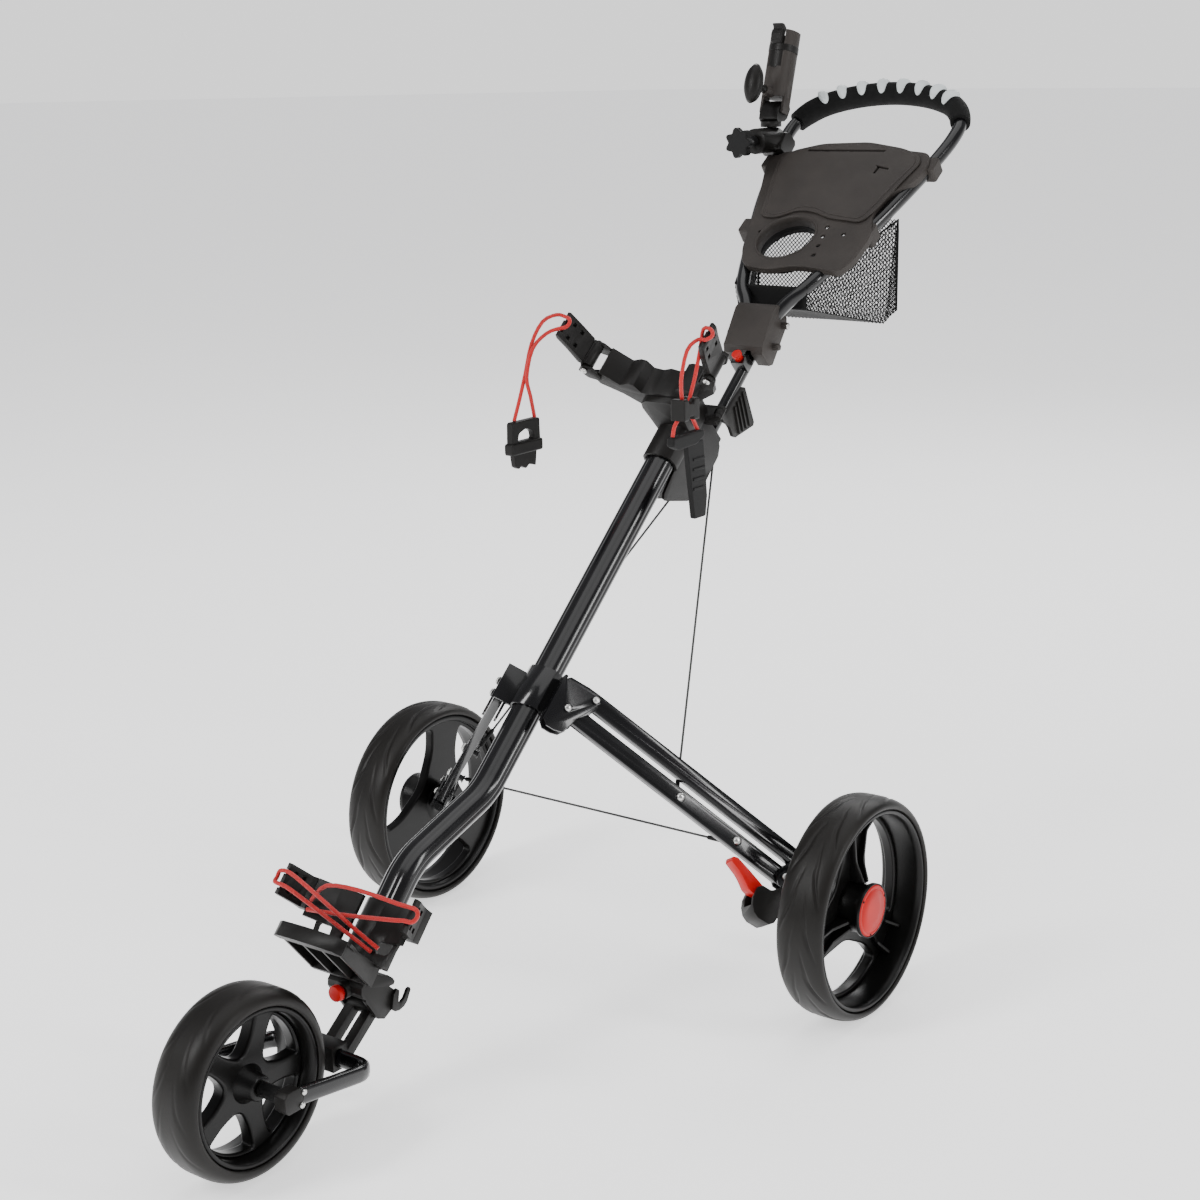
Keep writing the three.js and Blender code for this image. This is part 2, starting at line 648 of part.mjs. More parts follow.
function camLever() {
  const blade = slab(
    rounded([[505.6, -5], [513.4, -5], [513.4, -18], [545, -20], [573, -24], [553, -85], [506, -58],
      [511, -36], [505.6, -22]], 4),
    [42.5, 47.5],
    SIDEWAYS,
  );
  const ribs = [0, 1, 2, 3].map((i) =>
    slab([[534 + 9 * i, -26], [537 + 9 * i, -26], [521 + 8 * i, -62 - 4 * i],
      [518 + 8 * i, -62 - 4 * i]], [47, 50], SIDEWAYS),
  );
  const root = rod([45, 505.5, -8], [45, 513.5, -8], 6);
  const bore = rod([45, 490, -8], [45, 530, -8], 2.8);
  part(tubeFrame, "cam_lever", join(blade, ...ribs, root).subtract(bore), plastic);
}

// ---------------------------------------------------------------- stem, joint block and handle

const FOLD_PIN = [673, -61]; // the handle fold's hinge pin in (y, z) of the tube frame

function handleStem() {
  const shaft = rod([0, STEM.low, STEM.h], [0, STEM.top, STEM.h], STEM.radius, 16);
  const lug = box([-7, 7], [484, 502], [-92, STEM.h]);
  const collar = box([-11, 11], [626, 643], [STEM.h, -45]);
  const seat = rod([0, 634.5, -66], [0, 634.5, -40], 6 + GAP, 12);
  const bore = rod([-20, ...FOLD_PIN], [20, ...FOLD_PIN], 3.4, 12);
  part(tubeFrame, "handle_stem", join(shaft, lug, collar).subtract(seat).subtract(bore), paint);
  const button = join(rod([0, 634.5, -60], [0, 634.5, -38], 6, 12), rod([0, 634.5, -38.5],
    [0, 634.5, -34], 7.5, 12));
  part(tubeFrame, "stem_button", button, red);
}

function jointBlock() {
  const shell = slab(rounded([[646, -40], [714, -21], [724, -28], [724, -64], [648, -80]],
    7), [-32, 32], SIDEWAYS);
  const channel = box([-13, 13], [640, 700], [-100, -43.5]);
  const bolts = [FOLD_PIN, [708, -56]].map((centre) => rod([31, ...centre], [42, ...centre], 5, 6));
  const pin = rod([-16, ...FOLD_PIN], [16, ...FOLD_PIN], 3, 12);
  const placed = tubePlacing.clone().invert().multiply(handlePlacing);
  const sockets = moved(tube(handleRoute(), disc(HANDLE_RADIUS + GAP, 8)), placed);
  const block = join(shell.subtract(channel), pin, ...bolts).subtract(sockets);
  part(tubeFrame, "joint_block", block, plastic);
  const knob = join(
    rod([-40, 684, -50], [-32 - GAP, 684, -50], 7, 12),
    rod([-43, 684, -50], [-39.5, 684, -50], 5, 12),
  );
  part(tubeFrame, "lock_knob", knob, plastic);
}

const HANDLE_HALF = [
  [22, -16, -14], [34, 6, -7], [54, 38, -3], [83, 123, -3], [109, 207, -3], [131, 303, -3],
  [142, 362, 0], [137, 402, 1], [110, 436, 2], [60, 458, 2], [0, 466, 2],
];
const mirrorRoute = (half) => [...half, ...half.slice(0, -1).map(([x, y, z]) => [-x, y, z]).reverse()];
const handleRoute = () => smoothRoute(mirrorRoute(HANDLE_HALF), 36);

function handle() {
  part(handleFrame, "handle_tube", tube(handleRoute(), disc(HANDLE_RADIUS, 8)), paint);
  const whole = handleRoute();
  const first = whole.stations.findIndex((p) => p.y > 396);
  const cover = new Route(whole.stations.slice(first, whole.stations.length - first));
  const grip = tube(cover, disc(17, 10)).subtract(tube(handleRoute(), disc(HANDLE_RADIUS + GAP, 8)));
  part(handleFrame, "grip", grip, foam);
}

// ---------------------------------------------------------------- console and net bag

const CONSOLE = { back: 7.6, face: 12, lid: 16, tub: -14 };
const CUP = { at: [-19, 123], radius: 44 };

function consoleParts() {
  const base = rounded(
    [
      [-62, 61], [-18, 53], [23, 64], [60, 62], [100, 55], [112, 80], [116, 134], [97, 180],
        [102, 220], [134, 256],
      [139, 292], [128, 316], [0, 332], [-120, 312], [-137, 290], [-120, 240], [-104, 190],
        [-93, 146], [-80, 95],
    ],
    9,
    2,
  );
  const holes = [disc(CUP.radius, 20, CUP.at), ...[0, 1, 2, 3].map((i) => disc(3.4, 6, [38 + 2 * i,
    148 - 20 * i]))];
  const plate = slab(base, [CONSOLE.back, CONSOLE.face], undefined, holes);
  const tub = box([-66, 66], [214, 302], [CONSOLE.tub, CONSOLE.back + 1]);
  const tray = box([-62, 62], [218, 298], [CONSOLE.tub + 4, CONSOLE.face + 1]);
  const cup = slab(disc(CUP.radius + 3, 20, CUP.at), [-10, CONSOLE.back + 1],
    undefined, [disc(CUP.radius, 20, CUP.at)]);
  const clips = [[93, 152], [131, 296]].flatMap(([x, y]) =>
    [1, -1].map((mirror) => box([mirror * x - 14, mirror * x + 14], [y - 12, y + 12],
      [-15, CONSOLE.back + 1])),
  );
  const hinge = join(
    box([-40, 30], [318, 342], [CONSOLE.back, CONSOLE.face]),
    box([-40, 30], [335.2, 342], [CONSOLE.back, CONSOLE.lid + 0.5]),
  );
  const body = join(plate, tub, cup, ...clips, hinge)
    .subtract(tray)
    .subtract(tube(handleRoute(), disc(HANDLE_RADIUS + GAP, 8)));
  part(handleFrame, "console_base", body, plastic);
  const lidOutline = rounded(
    [
      [-68, 160], [-50, 163], [-26, 179], [4, 176], [32, 164], [90, 157], [102, 190], [113, 240],
        [126, 290],
      [118, 306], [85, 321], [22, 334], [-55, 329], [-100, 312], [-115, 293], [-104, 245],
        [-93, 203], [-84, 166],
    ],
    7,
    2,
  );
  const slot = slab(rounded([[-73, 312], [58, 314], [58, 311], [-73, 309]],
    1, 1), [CONSOLE.face, CONSOLE.lid + 1]);
  const lid = slab(lidOutline, [CONSOLE.face + GAP, CONSOLE.lid]).subtract(slot);
  part(handleFrame, "console_lid", lid, plastic);
}

function netBag() {
  const side = (inset) => [
    [372 + inset, 842 + inset], [500 - inset, 812 + inset],
    [526 - inset, 828 + inset], [526 - inset, 990], [372 + inset, 884],
  ];
  const plan = (inset) => mirrored([[60 - inset, 365], [119 - inset, 524], [119 - inset, 540]]);
  const shape = (inset, top) =>
    slab(side(inset), [-130, 130], SIDEWAYS)
      .intersect(slab(plan(inset), [780, 1010]))
      .intersect(moved(box([-140, 140], [-60, 260], [-330, top]), handlePlacing));
  part(cart, "net_bag", shape(0, -16.5).subtract(shape(4, 20)), foam);
}

// ---------------------------------------------------------------- umbrella holder

const UMBRELLA = -139;

function umbrellaHolder() {
  const stand = group(cart, [UMBRELLA, 0, 0]);
  const tubeLine = tube(handleRoute(), disc(HANDLE_RADIUS + GAP, 8));
  const placing = new THREE.Matrix4().makeTranslation(-UMBRELLA, 0, 0).multiply(handlePlacing);
  const clamp = join(
    rod([0, 548, 1068], [0, 606, 1068], 19, 16),
    slab(rounded([[584, 1058], [610, 1040], [632, 1062], [606, 1082]], 5), [-19, 22], SIDEWAYS),
  ).subtract(moved(tubeLine, placing));
  const swivelBore = rod([0, 594, 1060], [0, 594, 1100], 6 + GAP, 12);
  const screwBore = rod([0, 540, 1068], [0, 566, 1068], 4 + GAP, 12);
  part(stand, "umbrella_clamp", clamp.subtract(swivelBore).subtract(screwBore), plastic);
  const wheel = join(
    rod([0, 500, 1068], [0, 514, 1068], 23, 10),
    rod([0, 514, 1068], [0, 546, 1068], 9, 12),
    rod([0, 545, 1068], [0, 564, 1068], 4, 12),
  );
  part(stand, "umbrella_hand_wheel", wheel, plastic);
  const neck = join(
    rod([0, 594, 1064], [0, 594, 1092], 6, 12),
    rod([0, 594, 1087.6], [0, 594, 1096], 16, 16),
    slab(rounded([[584, 1095], [612, 1095], [626, 1116], [606, 1127], [588, 1112]], 5), [-16, 16],
      SIDEWAYS),
  );
  const tiltBore = rod([-20, 604, 1114], [20, 604, 1114], 4 + GAP, 12);
  part(stand, "umbrella_swivel", neck.subtract(tiltBore), plastic);
  const top = [604 + 34, 1114 + 112];
  const bodyOutline = oval(42, 42, 14);
  const lean = Math.atan2(top[0] - 604, top[1] - 1114);
  const upright = new THREE.Matrix4()
    .makeTranslation(0, 604, 1114)
    .multiply(new THREE.Matrix4().makeRotationX(-lean));
  const shell = slab(bodyOutline, [16, 116], upright);
  const hollow = slab(oval(34, 34, 14), [24, 130], upright);
  const mouth = moved(box([-11, 11], [-40, 0], [60, 130]), upright);
  const forks = [-1, 1].map((mirror) =>
    moved(box([mirror * 18.5 - 2, mirror * 18.5 + 2], [-9, 9], [-8, 20]), upright),
  );
  const screwBoss = moved(rod([0, -36, 20], [0, -14, 20], 7), upright);
  const screwHole = moved(rod([0, -50, 20], [0, -10, 20], 4 + GAP), upright);
  const tiltPin = rod([-20, 604, 1114], [20, 604, 1114], 4, 12);
  const body = join(shell.subtract(hollow).subtract(mouth), ...forks, tiltPin, screwBoss);
  part(stand, "umbrella_holder", body.subtract(screwHole), plastic);
  const knob = join(
    moved(rod([0, -60, 20], [0, -14, 20], 4), upright),
    moved(rod([0, -78, 20], [0, -58, 20], 20, 14, 14), upright),
  );
  part(stand, "umbrella_screw", knob, plastic);
}

// ---------------------------------------------------------------- brake

function brake() {
  const frame = armFrames.right;
  const housing = slab(
    rounded([[318, -72], [318, -96], [330, -112], [356, -112], [360, -84], [376, -62], [372, -57],
      [348, -57], [340, -72]], 5),
    [-13, 25],
  );
  const slot = box([300, 334.5], [-100, -60], [-3, 20]);
  const pin = rod([324, -78, -6], [324, -78, 24], 3);
  part(frame, "brake_housing", join(housing.subtract(slot), pin), plastic);
  const pedal = slab(
    rounded([[331, -84], [330, -72], [316, -67], [296, -60], [276, -54], [271, -62], [294, -72],
      [312, -86]], 4),
    [-2.5, 19.5],
  );
  part(frame, "brake_pedal", pedal.subtract(rod([324, -78, -20], [324, -78, 40], 3 + GAP)), red);
}

// ---------------------------------------------------------------- cables and cords

const LUG = [9.2, 493, -86]; // where a lift cable meets the stem's lug, in the main tube's frame
const EYE_HEIGHT = -9; // an eye bolt's shank lies this far from the middle plane of its bar, behind it
const EYE_CLEAR = 9.5;
const MIDDLE_GAP = 3.2; // from the plane of symmetry to each half of the cross cable

const eyeOf = (side, share) => {
  const at = inCart(armFrames[side], [...alongArm(ARM.length * share), EYE_HEIGHT]);
  return new THREE.Vector3(...at);
};

// A steel cable with a crimped sleeve near each eye bolt.
function liftCable(side, mirror) {
  const eye = eyeOf(side, LIFT_EYE);
  const lug = new THREE.Vector3(...inCart(tubeFrame, [mirror * LUG[0], LUG[1], LUG[2]]));
  const along = lug.clone().sub(eye).normalize();
  const at = (distance) => eye.clone().addScaledVector(along, distance).toArray();
  const cable = join(rod(at(EYE_CLEAR), lug.toArray(), CABLE_RADIUS, 8), rod(at(16), at(40),
    2 * CABLE_RADIUS, 8));
  part(cart, `lift_cable_${side}`, cable, wire);
}

// Each half of the cable that stops the arms from spreading, from its eye bolt to the middle.
function crossCable(side, mirror) {
  const eye = eyeOf(side, CROSS_EYE).toArray();
  const [x, y, z] = eye;
  const cable = join(
    rod([x - mirror * EYE_CLEAR, y, z], [mirror * MIDDLE_GAP, y, z], CABLE_RADIUS, 8),
    rod([x - mirror * 16, y, z], [x - mirror * 40, y, z], 2 * CABLE_RADIUS, 8),
  );
  part(cart, `cross_cable_${side}`, cable, wire);
}

const cordTube = (points, steps, radius = CORD_RADIUS) => tube(smoothRoute(points, steps), disc(radius, 8));

// The two elastic cords of the lower rest, each hooked over the tip of one arm.
function lowerBungees() {
  const fromLeft = [
    [36, -20, 30.2], [-26, -2, 50], [-80, 13, 73], [-97, 15.5, 74.8], [-108, 17, 73.5], [-110, 24, 71],
    [-108, 31, 73.5], [-97, 32.5, 74.8], [-80, 29, 75], [-40, 16, 71], [-12, 6, 63], [20, -6, 46],
      [44, -14, 30.2],
  ];
  const fromRight = [
    [-70, 3, 42.4], [0, 7, 55], [80, 13, 73], [97, 15.5, 74.8], [108, 17, 73.5], [110, 24, 71],
    [108, 31, 73.5], [97, 32.5, 74.8], [80, 32, 76], [20, 34, 78], [-36, 31, 68], [-70, 15, 43],
  ];
  part(footFrame, "lower_bungee_left", cordTube(fromLeft, 30), red);
  part(footFrame, "lower_bungee_right", cordTube(fromRight, 32), red);
}

const tipLoop = (mirror) =>
  [
    [mirror * 118, 484, 177.9], [mirror * 108.5, 484.5, 177.6], [mirror * 106.5, 493, 177],
    [mirror * 108.5, 501.5, 177.6], [mirror * 118, 502, 177.9],
  ].map((point) => inCart(tubeFrame, point));

function upperBungees() {
  const left = [
    [-130, -14, 737], [-131.5, -6, 780], [-130, 8, 828], inCart(tubeFrame, [-126, 483, 173]),
    ...tipLoop(-1), inCart(tubeFrame, [-126, 500, 184]), [-130, 4, 858], [-131, -32, 803], [-130, -56, 737],
  ];
  part(cart, "bungee_left", cordTube(left, 42), red);
  const hook = join(
    slab(rounded([[-68, 690], [-66, 736], [-8, 736], [-6, 690], [-22, 673], [-52, 673]],
      7), [-135, -125], SIDEWAYS),
  ).subtract(slab(rounded([[-56, 695], [-55, 722], [-19, 722], [-18, 695], [-26, 686], [-48, 686]],
    5), [-140, -120], SIDEWAYS));
  part(cart, "hook_left", hook, plastic);
  const right = [
    [90, -7, 728.4], [91, -4, 742], [95, 7.5, 762], [99, 9, 800], [103, 15, 838],
    inCart(tubeFrame, [106.5, 484, 177.6]), inCart(tubeFrame, [118, 484.2, 178]), inCart(tubeFrame,
      [124, 493, 177]),
    inCart(tubeFrame, [118, 501.6, 178.3]), inCart(tubeFrame, [106.5, 501.4, 177.9]),
    [102, 36, 838], [99, 26, 800], [95, 20.5, 762], [91, 38, 744], [90, 50, 728.4],
  ];
  part(cart, "bungee_right", cordTube(right, 46), red);
  const slider = box([84, 106], [-1, 29], [750, 774]).subtract(cordTube(right, 46, CORD_RADIUS + GAP));
  part(cart, "cord_slider", slider, plastic);
  const tab = join(
    rod([90, -13, 722], [90, 58, 722], 5),
    box([87, 93], [18, 58], [690, 722]),
    slab([[30, 694], [58, 700], [62, 640], [58, 612], [44, 612], [40, 640]], [86, 94], SIDEWAYS),
  );
  part(cart, "hook_right", tab, rubber);
}

// ---------------------------------------------------------------- assembly

mainTube();
midBracket();
for (const side of ["right", "left"]) {
  rearArm(side);
  wheelBracket(side);
  rearWheel(side);
}
frontWheel();
frontFork();
frontStrut();
frontKnuckle();
lowerRest();
lowerArms();
upperBracket();
saddleArms();
camLever();
handleStem();
jointBlock();
handle();
consoleParts();
netBag();
umbrellaHolder();
brake();
for (const [side, mirror] of [["right", 1], ["left", -1]]) {
  liftCable(side, mirror);
  crossCable(side, mirror);
}
lowerBungees();
upperBungees();

const { min, max } = new THREE.Box3().setFromObject(cart);
cart.position.y = -(min.y + max.y) / 2;

export default cart;
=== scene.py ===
"""The looks of a three-wheel golf push cart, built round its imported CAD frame."""
import json
import math

import bmesh
import bpy
from mathutils import Matrix, Vector
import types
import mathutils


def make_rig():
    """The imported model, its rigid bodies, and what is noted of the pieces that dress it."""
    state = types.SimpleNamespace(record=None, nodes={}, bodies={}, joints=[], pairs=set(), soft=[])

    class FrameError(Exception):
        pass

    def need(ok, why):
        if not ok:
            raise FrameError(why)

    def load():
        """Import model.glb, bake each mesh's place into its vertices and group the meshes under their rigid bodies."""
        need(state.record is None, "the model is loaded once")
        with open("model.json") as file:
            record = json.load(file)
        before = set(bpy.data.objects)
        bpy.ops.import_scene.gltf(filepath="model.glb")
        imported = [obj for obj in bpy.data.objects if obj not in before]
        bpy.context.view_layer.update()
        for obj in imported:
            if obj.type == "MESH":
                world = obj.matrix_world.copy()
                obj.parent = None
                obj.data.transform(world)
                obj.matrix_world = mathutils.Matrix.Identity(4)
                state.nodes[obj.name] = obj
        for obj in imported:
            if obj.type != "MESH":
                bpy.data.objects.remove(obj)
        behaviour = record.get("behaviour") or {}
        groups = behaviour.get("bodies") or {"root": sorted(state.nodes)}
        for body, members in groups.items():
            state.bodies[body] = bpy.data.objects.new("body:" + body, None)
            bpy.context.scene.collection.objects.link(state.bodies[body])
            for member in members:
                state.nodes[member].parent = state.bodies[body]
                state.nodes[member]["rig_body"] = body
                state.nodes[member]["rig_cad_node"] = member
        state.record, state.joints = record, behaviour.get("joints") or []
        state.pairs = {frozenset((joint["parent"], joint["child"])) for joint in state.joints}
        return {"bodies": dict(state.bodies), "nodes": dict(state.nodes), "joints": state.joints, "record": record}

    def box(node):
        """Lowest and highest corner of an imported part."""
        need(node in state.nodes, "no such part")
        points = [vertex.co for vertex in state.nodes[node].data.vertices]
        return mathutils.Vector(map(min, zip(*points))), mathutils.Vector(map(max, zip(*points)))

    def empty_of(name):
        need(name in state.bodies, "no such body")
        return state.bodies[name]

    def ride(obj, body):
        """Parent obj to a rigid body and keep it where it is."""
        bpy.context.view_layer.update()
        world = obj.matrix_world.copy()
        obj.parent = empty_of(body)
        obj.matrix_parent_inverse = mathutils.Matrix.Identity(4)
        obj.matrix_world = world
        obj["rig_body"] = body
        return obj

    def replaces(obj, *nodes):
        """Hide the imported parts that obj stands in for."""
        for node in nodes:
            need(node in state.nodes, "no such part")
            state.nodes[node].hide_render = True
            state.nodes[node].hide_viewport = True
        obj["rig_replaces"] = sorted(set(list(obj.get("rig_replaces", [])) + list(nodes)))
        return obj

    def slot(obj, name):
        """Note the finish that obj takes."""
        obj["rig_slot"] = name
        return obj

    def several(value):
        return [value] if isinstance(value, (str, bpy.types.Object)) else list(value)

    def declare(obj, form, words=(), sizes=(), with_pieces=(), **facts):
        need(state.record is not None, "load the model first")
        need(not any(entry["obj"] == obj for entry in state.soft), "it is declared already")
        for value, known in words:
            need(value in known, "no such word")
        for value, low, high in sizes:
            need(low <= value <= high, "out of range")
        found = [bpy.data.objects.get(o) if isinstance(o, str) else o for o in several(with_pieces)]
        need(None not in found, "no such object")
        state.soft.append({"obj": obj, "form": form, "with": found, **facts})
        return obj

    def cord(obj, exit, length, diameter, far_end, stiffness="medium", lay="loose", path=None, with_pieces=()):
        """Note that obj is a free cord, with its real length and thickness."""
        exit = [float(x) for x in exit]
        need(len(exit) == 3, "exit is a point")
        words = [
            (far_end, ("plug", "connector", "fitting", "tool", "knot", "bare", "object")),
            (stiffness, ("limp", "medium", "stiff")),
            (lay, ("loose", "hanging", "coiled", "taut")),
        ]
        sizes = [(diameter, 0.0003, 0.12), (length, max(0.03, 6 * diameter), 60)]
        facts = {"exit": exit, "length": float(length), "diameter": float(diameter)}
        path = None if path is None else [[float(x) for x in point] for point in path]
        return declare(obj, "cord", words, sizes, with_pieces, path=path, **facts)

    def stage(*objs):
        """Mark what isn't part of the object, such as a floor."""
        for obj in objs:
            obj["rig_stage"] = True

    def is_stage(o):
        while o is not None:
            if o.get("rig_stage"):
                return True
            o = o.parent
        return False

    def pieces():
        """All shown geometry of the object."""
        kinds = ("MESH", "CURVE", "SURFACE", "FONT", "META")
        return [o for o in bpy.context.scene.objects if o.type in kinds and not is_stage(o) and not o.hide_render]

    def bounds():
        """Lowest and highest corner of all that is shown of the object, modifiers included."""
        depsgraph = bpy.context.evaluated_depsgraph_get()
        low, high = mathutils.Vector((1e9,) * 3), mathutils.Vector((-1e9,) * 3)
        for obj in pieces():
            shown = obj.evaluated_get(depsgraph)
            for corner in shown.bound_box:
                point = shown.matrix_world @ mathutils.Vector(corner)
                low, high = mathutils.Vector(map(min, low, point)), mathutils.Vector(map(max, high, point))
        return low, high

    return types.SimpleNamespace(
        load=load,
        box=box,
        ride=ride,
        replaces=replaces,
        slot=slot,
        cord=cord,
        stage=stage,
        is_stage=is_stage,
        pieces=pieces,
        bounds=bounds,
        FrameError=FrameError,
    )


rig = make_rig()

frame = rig.load()
CAD_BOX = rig.bounds()
BODY_OF = {node: body for body, nodes in frame["record"]["behaviour"]["bodies"].items() for node in nodes}
SLOT_OF = {row["node"]: row["material_slot"] for row in frame["record"]["subparts"]}

# ------------------------------------------------------------------ frames of reference, in millimetres

MM = 0.001
low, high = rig.box("rear_tyre_right")
AXLE = (low[1] + high[1]) / 2  # the rear axle, from which the cart is laid out


def placing(origin, *turns):
    """Takes millimetres in a turned frame to metres in the cart's frame."""
    move = Matrix.Translation((origin[0] * MM, origin[1] * MM + AXLE, origin[2] * MM))
    for angle, axis in turns:
        move = move @ Matrix.Rotation(math.radians(angle), 4, axis)
    return move @ Matrix.Scale(MM, 4)


RAKE, DROP, LEAN, ARM_TILT = 41.8, 47.2, 35.8, 41.2
FOOT_AXIS = -6.5
CART = placing((0, 0, 0))
TUBE = placing((0, -214.7, 395), (RAKE, "X"))
FOOT = placing((0, -517.7, 201.8), (DROP, "X"))
HANDLE = placing((0, 350, 858), (LEAN, "X"))
ARM_ROOT = (52.6, 21.5, -2)
ARM = TUBE @ Matrix.Translation(ARM_ROOT) @ Matrix.Rotation(math.radians(90 - ARM_TILT), 4, "Y")
MIRROR = Matrix.Scale(-1, 4, (1, 0, 0))
# For an outline in (y, z) with its thickness along x, and for one in (y, x) with its thickness along z.
SIDEWAYS = Matrix(((0, 0, 1, 0), (1, 0, 0, 0), (0, 1, 0, 0), (0, 0, 0, 1)))
SWAPPED = Matrix(((0, 1, 0, 0), (1, 0, 0, 0), (0, 0, 1, 0), (0, 0, 0, 1)))


def sided(side, matrix):
    return matrix if side == "right" else MIRROR @ matrix


# ------------------------------------------------------------------ materials


def new_material(name, color, roughness, metallic=0.0, coat=0.0, specular=0.5, sheen=0.0):
    material = bpy.data.materials.new(name)
    material.use_nodes = True
    shader = material.node_tree.nodes["Principled BSDF"]
    shader.inputs["Base Color"].default_value = (*color, 1)
    shader.inputs["Roughness"].default_value = roughness
    shader.inputs["Metallic"].default_value = metallic
    shader.inputs["Coat Weight"].default_value = coat
    shader.inputs["Coat Roughness"].default_value = 0.06
    shader.inputs["Specular IOR Level"].default_value = specular
    shader.inputs["Sheen Weight"].default_value = sheen
    return material, shader


def add_node(material, kind, **values):
    node = material.node_tree.nodes.new(kind)
    for key, value in values.items():
        if key in node.inputs:
            node.inputs[key].default_value = value
        else:
            setattr(node, key, value)
    return node


def coordinates(material, stretch=(1, 1, 1)):
    place = add_node(material, "ShaderNodeTexCoord")
    scale = add_node(material, "ShaderNodeMapping")
    scale.inputs["Scale"].default_value = stretch
    material.node_tree.links.new(place.outputs["Object"], scale.inputs["Vector"])
    return scale.outputs["Vector"]


def mottle(material, shader, color, spread, scale, rough=0.0):
    """Lets the colour, and the roughness, wander a little over the surface."""
    links = material.node_tree.links
    noise = add_node(material, "ShaderNodeTexNoise", Scale=scale, Detail=4.0)
    links.new(coordinates(material), noise.inputs["Vector"])
    ramp = add_node(material, "ShaderNodeValToRGB")
    ramp.color_ramp.elements[0].position = 0.35
    ramp.color_ramp.elements[1].position = 0.68
    ramp.color_ramp.elements[0].color = (*[c * (1 - spread) for c in color], 1)
    ramp.color_ramp.elements[1].color = (*[c * (1 + spread) for c in color], 1)
    links.new(noise.outputs["Fac"], ramp.inputs["Fac"])
    links.new(ramp.outputs["Color"], shader.inputs["Base Color"])
    if rough:
        spread_out = add_node(material, "ShaderNodeMapRange")
        base = shader.inputs["Roughness"].default_value
        spread_out.inputs["To Min"].default_value = base - rough
        spread_out.inputs["To Max"].default_value = base + rough
        links.new(noise.outputs["Fac"], spread_out.inputs["Value"])
        links.new(spread_out.outputs["Result"], shader.inputs["Roughness"])


def bumped(material, shader, texture, height, strength, stretch=(1, 1, 1), **values):
    links = material.node_tree.links
    pattern = add_node(material, texture, **values)
    links.new(coordinates(material, stretch), pattern.inputs["Vector"])
    bump = add_node(material, "ShaderNodeBump", Strength=strength, Distance=height)
    output = "Fac" if "Fac" in pattern.outputs else "Distance"
    links.new(pattern.outputs[output], bump.inputs["Height"])
    links.new(bump.outputs["Normal"], shader.inputs["Normal"])


def gloss_paint():
    color = (0.004, 0.004, 0.0045)
    material, shader = new_material("gloss black paint", color, 0.2, coat=0.25, specular=0.4)
    mottle(material, shader, color, 0.25, 30, 0.03)
    bumped(material, shader, "ShaderNodeTexNoise", 0.0002, 0.12, Scale=260.0, Detail=2.0)
    return material


def moulded(name, color, roughness, grain=900.0, strength=0.25):
    material, shader = new_material(name, color, roughness, specular=0.22)
    mottle(material, shader, color, 0.12, 22, 0.05)
    bumped(material, shader, "ShaderNodeTexVoronoi", 0.0003, strength, Scale=grain)
    return material


def tyre_rubber():
    color = (0.008, 0.007, 0.006)
    material, shader = new_material("tyre rubber", color, 0.44, specular=0.25)
    mottle(material, shader, color, 0.2, 14, 0.07)
    bumped(material, shader, "ShaderNodeTexNoise", 0.0004, 0.2, Scale=420.0, Detail=3.0)
    return material


def cord_sheath():
    color = (0.5, 0.003, 0.003)
    material, shader = new_material("red woven cord", color, 0.55, specular=0.4, sheen=0.2)
    mottle(material, shader, color, 0.16, 700)
    bumped(material, shader, "ShaderNodeTexVoronoi", 0.0006, 0.6, stretch=(1, 1, 0.6), Scale=700.0)
    return material


def foam():
    color = (0.005, 0.005, 0.005)
    material, shader = new_material("grip foam", color, 0.85, specular=0.2)
    mottle(material, shader, color, 0.3, 60)
    bumped(material, shader, "ShaderNodeTexVoronoi", 0.0005, 0.5, Scale=1100.0)
    return material


def brushed():
    color = (0.6, 0.6, 0.58)
    material, shader = new_material("zinc plate", color, 0.28, metallic=1.0)
    mottle(material, shader, color, 0.15, 90, 0.08)
    return material


PAINT = gloss_paint()
PLASTIC = moulded("dark grey plastic", (0.007, 0.0064, 0.0058), 0.42)
CONSOLE_PLASTIC = moulded("console plastic", (0.036, 0.031, 0.028), 0.5, 1300.0, 0.3)
RIM_PLASTIC = moulded("rim plastic", (0.004, 0.0038, 0.0036), 0.32, 700.0, 0.15)
RED = moulded("red plastic", (0.5, 0.004, 0.003), 0.42, 800.0, 0.12)
PALE = moulded("pale grey finger pad", (0.62, 0.66, 0.66), 0.5)
TYRE = tyre_rubber()
CORD = cord_sheath()
FOAM = foam()
ZINC = brushed()
NET = moulded("black net", (0.004, 0.004, 0.004), 0.75)
CABLE = moulded("grey cable", (0.05, 0.05, 0.05), 0.35, 1500.0, 0.3)
BLACK = moulded("black rubber", (0.006, 0.006, 0.006), 0.6)
MATERIAL_OF = {
    "frame_tube": PAINT, "frame_steel": PAINT, "plastic": PLASTIC, "rim": RIM_PLASTIC, "tyre": TYRE,
    "red_plastic": RED, "bright_steel": ZINC, "grip_foam": FOAM, "mesh_fabric": NET, "cord": CORD,
    "cable": CABLE, "rubber": BLACK,
}

# ------------------------------------------------------------------ making pieces


def piece(name, verts, faces, material, body, slot=None):
    mesh = bpy.data.meshes.new(name)
    mesh.from_pydata([tuple(v) for v in verts], [], faces)
    mesh.validate()
    mesh.update()
    return dress(bpy.data.objects.new(name, mesh), material, body, slot)


def dress(obj, material, body, slot=None):
    if obj.name not in bpy.context.scene.collection.objects:
        bpy.context.scene.collection.objects.link(obj)
    obj.data.materials.clear()
    obj.data.materials.append(material)
    if obj.type == "MESH":
        for polygon in obj.data.polygons:
            polygon.use_smooth = True
    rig.ride(obj, body)
    if slot:
        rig.slot(obj, slot)
    return obj


